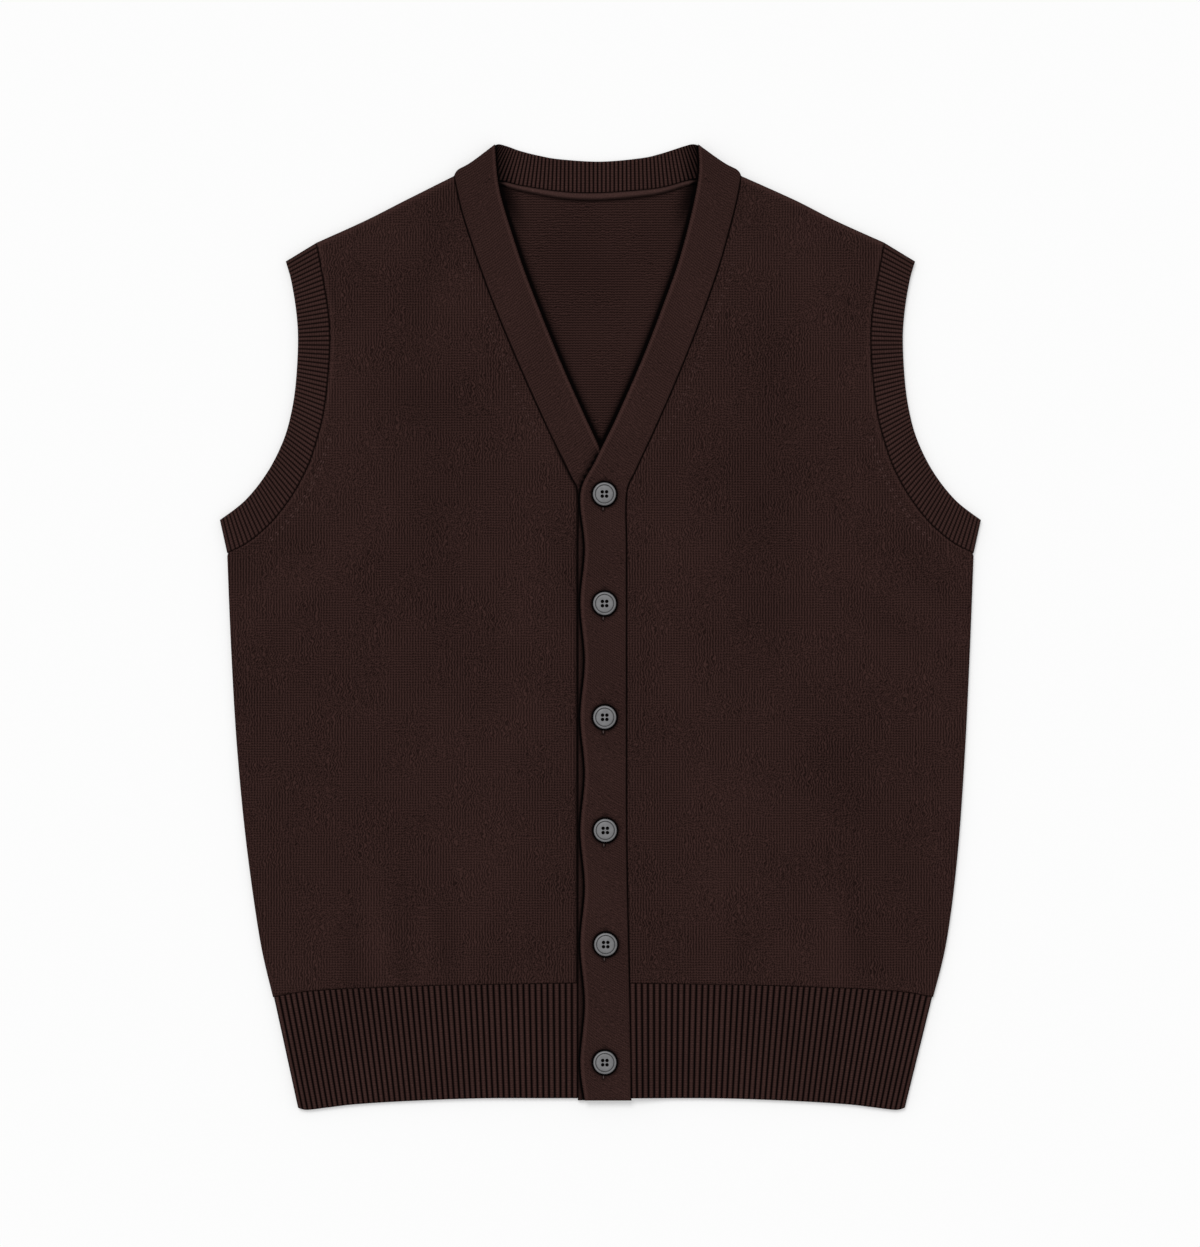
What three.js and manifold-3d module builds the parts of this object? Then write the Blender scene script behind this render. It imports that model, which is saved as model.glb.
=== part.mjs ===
// A buttoned sweater vest, knitted in plain stitch with ribbed hem, armholes and back neck, laid flat
// on its back. Millimetres: +X to the right as seen from above, +Y from hem to neck, +Z up out of the
// cloth. Left and right are as seen from above. Heights y in the tables count from the hem's lowest
// line, and the whole vest is then centred on the origin, with its underside at z = 0.

import * as THREE from "three";
import { mergeVertices } from "three/addons/utils/BufferGeometryUtils.js";
import Module from "manifold-3d";

// Driving dimensions

const LENGTH = 695.5; // hem to the neck points
const GAP = 0.3; // between layers that touch
const SEAM_GAP = 0.5; // between two pieces at a seam
const PANEL_CLOTH = 2.0; // plain-knit panels
const RIB_CLOTH = 1.7; // ribbed pieces, in the grooves
const RIB_RISE = 0.8; // height of a rib over its grooves
const BAND_CLOTH = 2.6; // double-knit front bands
const TAPE_CLOTH = 0.9; // tape over the back neck seam
const HEM_RIB_PITCH = 4.05;
const HEM_RIB_CROWDING = { edge: 0.07, seam: 0.035 }; // of the ribs to the side, as a share of the pitch
const ARMHOLE_RIB_PITCH = 3.1;
const NECK_RIB_PITCH = 3.0;
const NECK_LEAN = { share: 0.12, at: 70 }; // of the neckband's ribs to the middle: a share of x, `at` out
const NECKBAND_ENDS = [-101, 88]; // along its seam, both tucked under the front bands
const RIB_CREST = { from: 0.28, to: 0.72 }; // flat top of a rib, as shares of its pitch
const PANEL_PUFF = 1.2; // how far a front stands off the back in its middle
const SIDE_FALL = { height: 0.9, width: 6 }; // outer face of a front rounds down to its side seam
const BAND_FALL = { height: 0.7, share: 0.1 }; // outer face of a front band, at both edges
const HEM_FALL = { height: 1.1, share: 0.05 }; // outer face of the ribbed hem, at its lower edge
const LAP_SEAM = 16.3; // seam of the left front and its band, left of the centre line
const PLACKET_WIDTH = 31.7; // of the left band
const LAP_RUNOUT = 32; // width over which the right front comes down from the lap
const LAP_EASE = { from: 482, to: 545 }; // heights between which the right band comes down from the lap
const NECK_EASE = { from: 590, to: 650 }; // heights between which both bands climb over the neck tape
const FREE_EDGE = { atButton: -14.4, between: -11.2 }; // waving free edge of the right band
const FOLD_SWELL = { height: 2.3, share: 0.1, reach: 0.5 }; // of the front bands' upper end, by the seam
const SWAY = { by: 2.0, at: 110, spread: 120 }; // how far both lower sides stand to the right
const BAND_END = 6.9; // lower end of the front bands
const BUTTON_PLACES = [
  { x: 3.2, y: 34.4 },
  { x: 3.8, y: 119.3 },
  { x: 3.5, y: 201.4 },
  { x: 3.1, y: 282.8 },
  { x: 3.0, y: 364.6 },
  { x: 2.9, y: 443.4 },
];
const BUTTON = {
  radius: 8.35,
  thickness: 3.1,
  rimRadius: 7.5,
  grooveRadius: 6.7,
  grooveDepth: 0.9,
  faceRadius: 6.1,
  faceDepth: 0.5,
  holeRadius: 0.95,
  holeSpacing: 3.1,
};

// Tables of the cut, a row for each section. Where x counts outward from the centre line, one table
// serves both sides.

const HEM_EDGE = [
  { x: 218.5, y: 1.6 },
  { x: 212, y: 0 },
  { x: 196, y: 1.8 },
  { x: 178, y: 3.9 },
  { x: 144, y: 6.1 },
  { x: 90, y: 8.2 },
  { x: 40, y: 8.4 },
];
const HEM_SEAM = [
  { x: 237, y: 81.3 },
  { x: 214, y: 85.2 },
  { x: 175, y: 87.6 },
  { x: 125, y: 89.4 },
  { x: 60, y: 90.6 },
];
const CENTRE_HEM = { edge: 8.4, seam: 91.4 }; // heights of the same two lines at the front opening
const SIDE_SEAM = [
  { x: 237.7, y: 81.8 },
  { x: 247.3, y: 122.4 },
  { x: 256.0, y: 187.2 },
  { x: 262.1, y: 259.2 },
  { x: 266.0, y: 331.2 },
  { x: 268.8, y: 401.0 },
];
const ARMHOLE_SEAM = [
  { x: 268.8, y: 401.0 },
  { x: 254.0, y: 408.6 },
  { x: 237.2, y: 423.0 },
  { x: 223.1, y: 441.0 },
  { x: 214.0, y: 457.0 },
  { x: 207.3, y: 473.0 },
  { x: 199.4, y: 502.6 },
  { x: 195.3, y: 541.4 },
  { x: 195.4, y: 568.0 },
  { x: 199.2, y: 595.0 },
  { x: 204.6, y: 624.4 },
];
const ARMHOLE_EDGE = [
  { x: 274.0, y: 424.8 },
  { x: 255.6, y: 439.2 },
  { x: 239.6, y: 459.6 },
  { x: 228.2, y: 482.4 },
  { x: 222.3, y: 503.6 },
  { x: 219.2, y: 525.6 },
  { x: 217.8, y: 554.4 },
  { x: 219.2, y: 576.0 },
  { x: 222.8, y: 597.6 },
  { x: 226.6, y: 611.0 },
];
const SHOULDER = [
  { x: 204.6, y: 624.4 },
  { x: 169.2, y: 640.4 },
  { x: 140.0, y: 655.2 },
  { x: 105.4, y: 672.5 },
];
// Front bands in the V, from the shoulder fold down: the seam to the front, and the free edge.
const LEFT_BAND_V = [
  { seamX: -105.4, seamY: 672.5, edgeX: -76.0, edgeY: 695.3 },
  { seamX: -99.4, seamY: 645.2, edgeX: -72.6, edgeY: 662.3 },
  { seamX: -86.3, seamY: 605.4, edgeX: -60.2, edgeY: 620.5 },
  { seamX: -74.9, seamY: 575.1, edgeX: -49.1, edgeY: 589.5 },
  { seamX: -56.4, seamY: 531.1, edgeX: -30.9, edgeY: 544.2 },
  { seamX: -37.9, seamY: 490.2, edgeX: -14.9, edgeY: 507.6 },
  { seamX: -21.7, seamY: 456.8, edgeX: 2.0, edgeY: 471.5 },
];
const RIGHT_BAND_V = [
  { seamX: 101.4, seamY: 672.5, edgeX: 70.4, edgeY: 695.3 },
  { seamX: 97.9, seamY: 652.9, edgeX: 70.2, edgeY: 668.2 },
  { seamX: 86.3, seamY: 609.7, edgeX: 58.3, edgeY: 617.5 },
  { seamX: 71.6, seamY: 567.7, edgeX: 44.7, edgeY: 578.2 },
  { seamX: 54.8, seamY: 525.4, edgeX: 29.4, edgeY: 539.0 },
  { seamX: 37.4, seamY: 485.8, edgeX: 11.7, edgeY: 498.8 },
  { seamX: 25.9, seamY: 461.0, edgeX: -3.4, edgeY: 467.9 },
];
const RIGHT_PLACKET_SEAM = { atV: 19.0, atHem: 22.4, slantTo: 220 }; // x, easing over below `slantTo`
// Back neck, from left to right: the band's seam to the back, and its free edge up to the fold lines.
const NECK_SEAM = [
  { x: -105.4, y: 672.5 },
  { x: -73.0, y: 668.9 },
  { x: -56.4, y: 665.3 },
  { x: -27.6, y: 661.0 },
  { x: -1.0, y: 660.2 },
  { x: 31.4, y: 662.4 },
  { x: 46.5, y: 664.6 },
  { x: 69.6, y: 670.3 },
  { x: 101.4, y: 672.5 },
];
const NECK_FREE_EDGE = [
  { x: -77.0, y: 694.4 },
  { x: -73.1, y: 695.5 },
  { x: -67.1, y: 694.0 },
  { x: -57.8, y: 690.7 },
  { x: -44.3, y: 687.3 },
  { x: -29.0, y: 684.7 },
  { x: -0.3, y: 683.0 },
  { x: 28.4, y: 685.4 },
  { x: 42.8, y: 688.5 },
  { x: 60.7, y: 694.2 },
  { x: 67.0, y: 695.5 },
  { x: 72.0, y: 694.2 },
];
const TAPE = { left: -92.0, right: 88.0, width: 6.0, widthAtEnd: 2.6 };

// Lines through the tables

const lerp = THREE.MathUtils.lerp;
const smoothstep = THREE.MathUtils.smoothstep;
const splineThrough = (points) => new THREE.SplineCurve(points.map(({ x, y }) => new THREE.Vector2(x, y)));

// A smooth line through a table's points, read by its share of length from 0 to 1.
function line(points) {
  const curve = splineThrough(points);
  curve.arcLengthDivisions = 400;
  return (t) => curve.getPointAt(t);
}

// The same, read row by row, so that two lines of as many rows are read at matching sections.
function lineByRows(points) {
  const curve = splineThrough(points);
  return (t) => curve.getPoint(t);
}

// The same, read by its share of the way from `first` to `last` in x, before `spread` moves that x.
function lineAcross(points, first, last, spread = (x) => x) {
  const trace = splineThrough(points).getPoints(20 * points.length);
  return (t) => {
    const x = spread(lerp(first, last, t));
    const next = Math.max(1, trace.findIndex((p) => p.x >= x - 1e-6));
    const [a, b] = [trace[next - 1], trace[next]];
    return new THREE.Vector2(x, lerp(a.y, b.y, (x - a.x) / (b.x - a.x)));
  };
}

// The line read so that even steps lie closer at its start than at its end, by `share` of a step.
function crowded(along, share) {
  return (t) => along(t + share * (t * t - t));
}

// Lines end to end, each taking its own share of 0 to 1.
function joined(...parts) {
  return (t) => {
    let from = 0;
    for (const { share, along } of parts) {
      if (t <= from + share + 1e-9) return along(Math.min(1, (t - from) / share));
      from += share;
    }
    return parts.at(-1).along(1);
  };
}

// A line moved sideways by `distance`, to the right of its own direction.
function beside(along, distance) {
  const step = 1e-3;
  return (t) => {
    const way = along(Math.min(1, t + step)).sub(along(Math.max(0, t - step))).normalize();
    return along(t).add(new THREE.Vector2(way.y, -way.x).multiplyScalar(distance));
  };
}

const mirrored = (points) => points.map(({ x, y }) => ({ x: -x, y }));
const shifted = (points, dx, dy) => points.map(({ x, y }) => ({ x: x + dx, y: y + dy }));
const reversed = (along) => (t) => along(1 - t);

function lengthOf(along, steps = 60) {
  let length = 0;
  for (let i = 0; i < steps; i++) length += along(i / steps).distanceTo(along((i + 1) / steps));
  return length;
}

// Places on a piece

// Straight across from one line to the other.
const between = (low, high) => (u, v) => low(u).lerp(high(u), v);

// Inside four lines: `low` and `high` run in u, `start` and `end` in v.
function inside(low, high, start, end) {
  return (u, v) => {
    const across = low(u).lerp(high(u), v);
    const up = start(v).lerp(end(v), u);
    const corners = low(0).lerp(low(1), u).lerp(high(0).lerp(high(1), u), v);
    return across.add(up).sub(corners);
  };
}

// Moved to the right where the lower part of the vest lies askew, by more the further out a place is.
function swayed(place) {
  const outermost = SIDE_SEAM[0].x;
  return (u, v) => {
    const { x, y } = place(u, v);
    const sway = SWAY.by * Math.exp(-(((y - SWAY.at) / SWAY.spread) ** 2));
    return { x: x + sway * (x / outermost) ** 2, y };
  };
}

// The same place on the other side of the centre line where `side` is -1.
const onSide = (side, place) => (u, v) => {
  const { x, y } = place(u, v);
  return { x: side * x, y };
};

// Columns and rows of a wall

const even = (count) => Array.from({ length: count + 1 }, (_, k) => ({ at: k / count, rise: 0 }));

// Even ones with one more a share `lip` in from each chosen end, where an edge rounds over.
function evenWithLips(count, lip, ends = { start: true, end: true }) {
  const from = ends.start ? lip : 0;
  const to = ends.end ? 1 - lip : 1;
  const stops = even(count).map(({ at }) => lerp(from, to, at));
  if (ends.start) stops.unshift(0);
  if (ends.end) stops.push(1);
  return stops.map((at) => ({ at, rise: 0 }));
}

// Three columns to a rib: its groove and the two sides of its crest.
function ribColumns(count) {
  const columns = [];
  for (let k = 0; k < count; k++) {
    columns.push({ at: k / count, rise: 0 });
    columns.push({ at: (k + RIB_CREST.from) / count, rise: RIB_RISE });
    columns.push({ at: (k + RIB_CREST.to) / count, rise: RIB_RISE });
  }
  columns.push({ at: 1, rise: 0 });
  return columns;
}

// A closed wall. `place` gives x and y at (u, v), `under` and `over` the heights of its two faces.
// The plain underside has a column only where the outer face isn't raised.
function wall({ columns, rows, place, under, over }) {
  const position = [];
  const addPoint = (face, column, row) => {
    const { x, y } = place(column.at, row.at);
    position.push(x, y, face({ u: column.at, v: row.at, x, y, rise: column.rise }));
    return position.length / 3 - 1;
  };
  const plain = columns.filter(({ rise }) => rise === 0);
  const top = rows.map((row) => columns.map((column) => addPoint(over, column, row)));
  const bottom = rows.map((row) => plain.map((column) => addPoint(under, column, row)));
  const index = [];
  addGrid(index, top);
  addGrid(index, bottom.map((row) => row.toReversed()));
  const spans = columns.map(({ at }) => plain.findLastIndex((column) => column.at <= at));
  addEdge(index, top[0], bottom[0], spans);
  addEdge(index, top.at(-1).toReversed(), bottom.at(-1).toReversed(), spansReversed(columns, plain));
  const endRow = rows.map((_, i) => i);
  addEdge(index, top.map((row) => row.at(-1)), bottom.map((row) => row.at(-1)), endRow);
  addEdge(index, top.map((row) => row[0]).reverse(), bottom.map((row) => row[0]).reverse(), endRow);
  return facingOut(position, index);
}

// Which underside column each outer one follows, counted from the far end.
function spansReversed(columns, plain) {
  const fromEnd = plain.toReversed();
  return columns.toReversed().map(({ at }) => fromEnd.findLastIndex((column) => column.at >= at));
}

function addGrid(index, grid) {
  for (let i = 0; i + 1 < grid.length; i++) {
    for (let j = 0; j + 1 < grid[i].length; j++) {
      const [a, b, c, d] = [grid[i][j], grid[i][j + 1], grid[i + 1][j + 1], grid[i + 1][j]];
      index.push(a, b, c, a, c, d);
    }
  }
}

// Closes one edge of a wall, from its outer face down to the fewer points of its underside.
function addEdge(index, top, bottom, follows) {
  for (let j = 0; j + 1 < top.length; j++) {
    const here = bottom[follows[j]];
    const next = bottom[follows[j + 1]];
    index.push(top[j], here, top[j + 1]);
    if (next !== here) index.push(here, next, top[j + 1]);
  }
}

// The surface with its faces pointing out, whichever way its grid ran.
function facingOut(position, index) {
  const corner = (k) => new THREE.Vector3().fromArray(position, 3 * index[k]);
  let volume = 0;
  for (let k = 0; k < index.length; k += 3) {
    volume += corner(k).dot(corner(k + 1).cross(corner(k + 2)));
  }
  if (volume < 0) index.reverse();
  const geometry = new THREE.BufferGeometry();
  geometry.setAttribute("position", new THREE.Float32BufferAttribute(position, 3));
  geometry.setIndex(index);
  geometry.computeVertexNormals();
  return geometry;
}

// Levels of the layers

const FRONT_REST = PANEL_CLOTH + GAP; // underside of a front, lying on the back
const NECK_LIFT = TAPE_CLOTH + GAP;
const LAP_LIFT = BAND_CLOTH + GAP;

// How far the inner edge of each front, with its band, stands above that rest.
const neckLift = (y) => NECK_LIFT * smoothstep(y, NECK_EASE.from, NECK_EASE.to);
const lapLift = (y) => LAP_LIFT * (1 - smoothstep(y, LAP_EASE.from, LAP_EASE.to));
const rightLift = (y) => Math.max(neckLift(y), lapLift(y));

// How far a face has dropped at `share` of the way in from a rounded edge of width `lip`.
const fall = (share, lip) => 1 - Math.sin((Math.min(share / lip, 1) * Math.PI) / 2);

// Front bands

const seamOf = (table) => table.map(({ seamX, seamY }) => ({ x: seamX, y: seamY }));
const edgeOf = (table) => table.map(({ edgeX, edgeY }) => ({ x: edgeX, y: edgeY }));

// A button's height, then the height halfway to the next one down, and so on to the band's end.
function placketHeights() {
  const heights = [];
  BUTTON_PLACES.toReversed().forEach(({ y }, k, all) => {
    heights.push(y);
    if (k + 1 < all.length) heights.push((y + all[k + 1].y) / 2);
  });
  return [...heights, BAND_END];
}

const leftPlacket = placketHeights().map((y) => ({
  seamX: -LAP_SEAM,
  seamY: y,
  edgeX: PLACKET_WIDTH - LAP_SEAM,
  edgeY: y,
}));

// The right band's free edge swings out at each button and back between two.
const rightPlacket = placketHeights().map((y, k) => ({
  seamX: lerp(RIGHT_PLACKET_SEAM.atHem, RIGHT_PLACKET_SEAM.atV, smoothstep(y, 0, RIGHT_PLACKET_SEAM.slantTo)),
  seamY: y,
  edgeX: k % 2 ? FREE_EDGE.between : FREE_EDGE.atButton,
  edgeY: y,
}));

const leftBandTable = [...LEFT_BAND_V, ...leftPlacket];
const rightBandTable = [...RIGHT_BAND_V, ...rightPlacket];

function frontBand(table, lift) {
  const sections = table.length - 1;
  const plain = between(lineByRows(seamOf(table)), lineByRows(edgeOf(table)));
  const place = (u, v) => {
    const { x, y } = plain(u, v);
    const out = v / FOLD_SWELL.share;
    const swell = FOLD_SWELL.height * out * Math.exp(1 - out);
    return { x, y: y + swell * Math.max(0, 1 - (u * sections) / FOLD_SWELL.reach) };
  };
  const under = ({ y }) => FRONT_REST + lift(y);
  return wall({
    columns: even(4 * sections),
    rows: evenWithLips(1, BAND_FALL.share),
    place,
    under,
    over: (p) => under(p) + BAND_CLOTH - BAND_FALL.height * fall(Math.min(p.v, 1 - p.v), BAND_FALL.share),
  });
}

// Seam of a front and its band, x counting outward, from the shoulder down to `low`.
function innerSeam(side, table, low) {
  const seam = seamOf(table).map(({ x, y }) => ({ x: side * x + SEAM_GAP, y }));
  const above = seam.filter(({ y }) => y > low + 1);
  const next = seam[above.length];
  const last = above.at(-1);
  return [...above, { x: lerp(last.x, next.x, (last.y - low) / (last.y - next.y)), y: low }];
}

// Panels

const PANEL_ROWS = even(26);
const SIDE_SHARE = 10 / 26; // of a panel's rows, the others being beside the armhole

const sideLine = joined(
  { share: SIDE_SHARE, along: line(SIDE_SEAM) },
  { share: 1 - SIDE_SHARE, along: line(ARMHOLE_SEAM) },
);

function frontPanel(side, table, lift) {
  const low = CENTRE_HEM.seam + SEAM_GAP;
  const seam = innerSeam(side, table, low);
  const belowArmhole = seam.findIndex(({ y }) => y < ARMHOLE_SEAM[0].y);
  const inner = joined(
    { share: SIDE_SHARE, along: reversed(line(seam.slice(belowArmhole))) },
    { share: 1 - SIDE_SHARE, along: reversed(line(seam.slice(0, belowArmhole + 1))) },
  );
  const hem = line([...shifted(HEM_SEAM, 0, SEAM_GAP), seam.at(-1)]);
  const shoulder = line([...SHOULDER.slice(0, -1), seam[0]]);
  const under = ({ u, v, x, y }) => {
    const inFromBand = x * side - inner(v).x;
    const near = smoothstep(LAP_RUNOUT - inFromBand, 0, LAP_RUNOUT);
    return FRONT_REST + PANEL_PUFF * Math.sin(Math.PI * u) * Math.sin(Math.PI * v) + lift(y) * near;
  };
  const sideFall = ({ v, x }) => fall(sideLine(v).x - x * side, SIDE_FALL.width);
  return wall({
    columns: evenWithLips(9, 0.03, { start: true, end: false }),
    rows: PANEL_ROWS,
    place: swayed(onSide(side, inside(hem, shoulder, sideLine, inner))),
    under,
    over: (p) => under(p) + PANEL_CLOTH - SIDE_FALL.height * sideFall(p),
  });
}

function backPanel() {
  const hem = [...shifted(HEM_SEAM, 0, SEAM_GAP)];
  const low = line([...mirrored(hem), ...hem.toReversed()]);
  const neckSeam = shifted(NECK_SEAM, 0, -SEAM_GAP);
  const high = joined(
    { share: 0.1, along: line(mirrored(SHOULDER)) },
    { share: 0.8, along: lineAcross(neckSeam, neckSeam[0].x, neckSeam.at(-1).x) },
    { share: 0.1, along: reversed(line([...SHOULDER.slice(0, -1), neckSeam.at(-1)])) },
  );
  const left = (v) => new THREE.Vector2(-sideLine(v).x, sideLine(v).y);
  return wall({
    columns: even(20),
    rows: PANEL_ROWS,
    place: swayed(inside(low, high, left, sideLine)),
    under: () => 0,
    over: () => PANEL_CLOTH,
  });
}

// Ribbed hems

function frontHem(side, table, lift) {
  const seamTop = innerSeam(side, table, CENTRE_HEM.seam).at(-1);
  const seamEnd = innerSeam(side, table, CENTRE_HEM.edge).at(-1);
  const low = crowded(line([...HEM_EDGE, seamEnd]), HEM_RIB_CROWDING.edge);
  const high = crowded(line([...HEM_SEAM, seamTop]), HEM_RIB_CROWDING.seam);
  const count = Math.round((lengthOf(low) + lengthOf(high)) / 2 / HEM_RIB_PITCH);
  const under = ({ x, y }) => {
    const near = smoothstep(LAP_RUNOUT - (x * side - seamTop.x), 0, LAP_RUNOUT);
    return FRONT_REST + lift(y) * near;
  };
  const place = between(low, high);
  const drop = ({ u, v }) => {
    const atSide = SIDE_FALL.height * fall(place(0, v).x - place(u, v).x, SIDE_FALL.width);
    return Math.max(atSide, HEM_FALL.height * fall(v, HEM_FALL.share));
  };
  return wall({
    columns: ribColumns(count),
    rows: [{ at: 0 }, { at: HEM_FALL.share }, { at: 1 }],
    place: swayed(onSide(side, place)),
    under,
    over: (p) => under(p) + RIB_CLOTH + p.rise - drop(p),
  });
}

function backHem() {
  const low = line([...mirrored(HEM_EDGE), ...HEM_EDGE.toReversed()]);
  const high = line([...mirrored(HEM_SEAM), ...HEM_SEAM.toReversed()]);
  return wall({
    columns: even(32),
    rows: even(1),
    place: swayed(between(low, high)),
    under: () => 0,
    over: () => PANEL_CLOTH,
  });
}

// Armhole bands

function armholeBand(side, layer) {
  const low = beside(line(ARMHOLE_SEAM), SEAM_GAP);
  const high = line(ARMHOLE_EDGE);
  const count = Math.round((lengthOf(low) + lengthOf(high)) / 2 / ARMHOLE_RIB_PITCH);
  const front = layer === "front";
  const rest = front ? FRONT_REST : 0;
  return wall({
    columns: front ? ribColumns(count) : even(36),
    rows: even(1),
    place: onSide(side, between(low, high)),
    under: () => rest,
    over: ({ rise }) => rest + (front ? RIB_CLOTH + rise : PANEL_CLOTH),
  });
}

// Back neck

// The ribs stand square to the free edge, which climbs to both fold lines, so they lean in there.
function neckband() {
  const [first, last] = NECKBAND_ENDS;
  const leaning = (x) => x * (1 - NECK_LEAN.share * (x / NECK_LEAN.at) ** 2);
  return wall({
    columns: ribColumns(Math.round((last - first) / NECK_RIB_PITCH)),
    rows: even(1),
    place: between(
      lineAcross(shifted(NECK_SEAM, 0, SEAM_GAP / 2), first, last),
      lineAcross(NECK_FREE_EDGE, first, last, leaning),
    ),
    under: () => 0,
    over: ({ rise }) => RIB_CLOTH + rise,
  });
}

function seamTape() {
  const high = lineAcross(shifted(NECK_SEAM, 0, -SEAM_GAP), TAPE.left, TAPE.right);
  const width = (t) => lerp(TAPE.widthAtEnd, TAPE.width, Math.sin(Math.PI * t));
  const low = (t) => high(t).sub(new THREE.Vector2(0, width(t)));
  const rest = PANEL_CLOTH + GAP;
  return wall({
    columns: even(24),
    rows: even(1),
    place: between(low, high),
    under: () => rest,
    over: () => rest + TAPE_CLOTH,
  });
}

// Buttons

const wasm = await Module();
wasm.setup();

function solidOf(geometry) {
  const bare = geometry.clone();
  bare.deleteAttribute("normal");
  bare.deleteAttribute("uv");
  const merged = mergeVertices(bare, 1e-4);
  const index = merged.index.array;
  const triVerts = [];
  for (let k = 0; k < index.length; k += 3) {
    const [a, b, c] = [index[k], index[k + 1], index[k + 2]];
    if (a !== b && b !== c && c !== a) triVerts.push(a, b, c);
  }
  return new wasm.Manifold(
    new wasm.Mesh({
      numProp: 3,
      vertProperties: merged.attributes.position.array,
      triVerts: new Uint32Array(triVerts),
    }),
  );
}

function geometryOf(solid) {
  const { numProp, vertProperties, triVerts } = solid.getMesh();
  const geometry = new THREE.BufferGeometry();
  geometry.setAttribute("position", new THREE.BufferAttribute(new Float32Array(vertProperties), numProp));
  geometry.setIndex(new THREE.BufferAttribute(new Uint32Array(triVerts), 1));
  geometry.computeVertexNormals();
  return geometry;
}

// A turned disc with a raised rim, a groove inside it and four holes, standing on z = 0.
function buttonGeometry() {
  const { radius, thickness, rimRadius, grooveRadius, grooveDepth, faceRadius, faceDepth } = BUTTON;
  const profile = [
    [0, 0],
    [rimRadius, 0],
    [radius, 0.35 * thickness],
    [radius, 0.7 * thickness],
    [rimRadius, thickness],
    [grooveRadius, thickness - grooveDepth],
    [faceRadius, thickness - faceDepth],
    [0, thickness - faceDepth],
  ].map(([x, y]) => new THREE.Vector2(x, y));
  const disc = new THREE.LatheGeometry(profile, 24).rotateX(Math.PI / 2);
  let solid = solidOf(disc);
  for (const sx of [-0.5, 0.5]) {
    for (const sy of [-0.5, 0.5]) {
      const hole = new THREE.CylinderGeometry(BUTTON.holeRadius, BUTTON.holeRadius, 3 * thickness, 8);
      hole.rotateX(Math.PI / 2).translate(sx * BUTTON.holeSpacing, sy * BUTTON.holeSpacing, 0);
      solid = solid.subtract(solidOf(hole));
    }
  }
  return geometryOf(solid);
}

// The vest

const knit = () => new THREE.MeshStandardMaterial({ color: "#2e1e1c", roughness: 0.95, metalness: 0 });
const ribKnit = () => new THREE.MeshStandardMaterial({ color: "#2d1d1b", roughness: 0.95, metalness: 0 });
const bandKnit = () => new THREE.MeshStandardMaterial({ color: "#2f1f1d", roughness: 0.9, metalness: 0 });
const tapeCloth = () => new THREE.MeshStandardMaterial({ color: "#3b2927", roughness: 0.85, metalness: 0 });
const horn = () => new THREE.MeshStandardMaterial({ color: "#737374", roughness: 0.45, metalness: 0 });

const vest = new THREE.Group();
vest.position.y = -LENGTH / 2;

function add(name, geometry, material) {
  const mesh = new THREE.Mesh(geometry, material);
  mesh.name = name;
  vest.add(mesh);
  return mesh;
}

add("back_panel", backPanel(), knit());
add("front_panel_left", frontPanel(-1, leftBandTable, neckLift), knit());
add("front_panel_right", frontPanel(1, rightBandTable, rightLift), knit());
add("hem_rib_back", backHem(), ribKnit());
add("hem_rib_front_left", frontHem(-1, leftBandTable, neckLift), ribKnit());
add("hem_rib_front_right", frontHem(1, rightBandTable, rightLift), ribKnit());
for (const [name, side] of [["left", -1], ["right", 1]]) {
  for (const layer of ["front", "back"]) {
    add(`armhole_band_${name}_${layer}`, armholeBand(side, layer), ribKnit());
  }
}
add("front_band_left", frontBand(leftBandTable, neckLift), bandKnit());
add("front_band_right", frontBand(rightBandTable, rightLift), bandKnit());
add("neckband_back", neckband(), ribKnit());
add("neck_seam_tape", seamTape(), tapeCloth());

const buttonShape = buttonGeometry();
const buttonRest = FRONT_REST + LAP_LIFT + BAND_CLOTH + GAP;
BUTTON_PLACES.forEach(({ x, y }, k) => {
  add(`button_${k + 1}`, buttonShape, horn()).position.set(x, y, buttonRest);
});

const model = new THREE.Group();
model.add(vest);

export default model;
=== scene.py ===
import math

import bpy
import numpy as np
from mathutils import Matrix, Vector


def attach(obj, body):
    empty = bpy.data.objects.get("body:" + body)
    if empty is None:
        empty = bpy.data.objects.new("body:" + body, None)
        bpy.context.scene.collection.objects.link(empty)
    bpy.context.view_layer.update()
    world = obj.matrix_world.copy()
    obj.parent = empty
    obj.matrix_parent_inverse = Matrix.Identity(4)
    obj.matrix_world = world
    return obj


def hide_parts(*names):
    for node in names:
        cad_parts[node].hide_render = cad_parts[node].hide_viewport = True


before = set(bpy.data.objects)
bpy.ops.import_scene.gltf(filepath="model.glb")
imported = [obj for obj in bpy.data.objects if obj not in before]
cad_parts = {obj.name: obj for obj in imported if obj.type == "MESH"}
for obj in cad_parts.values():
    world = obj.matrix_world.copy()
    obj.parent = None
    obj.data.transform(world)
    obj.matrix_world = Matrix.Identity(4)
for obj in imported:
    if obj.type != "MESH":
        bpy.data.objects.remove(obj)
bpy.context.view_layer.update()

# The vest lies flat on its back, +X to the right as seen from above, +Y from hem to neck, +Z up.
# Sizes here are in millimetres, and go to metres where a mesh is made. Heights y in the tables count
# from the hem's lowest line.

MM = 0.001

# Driving dimensions

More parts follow.
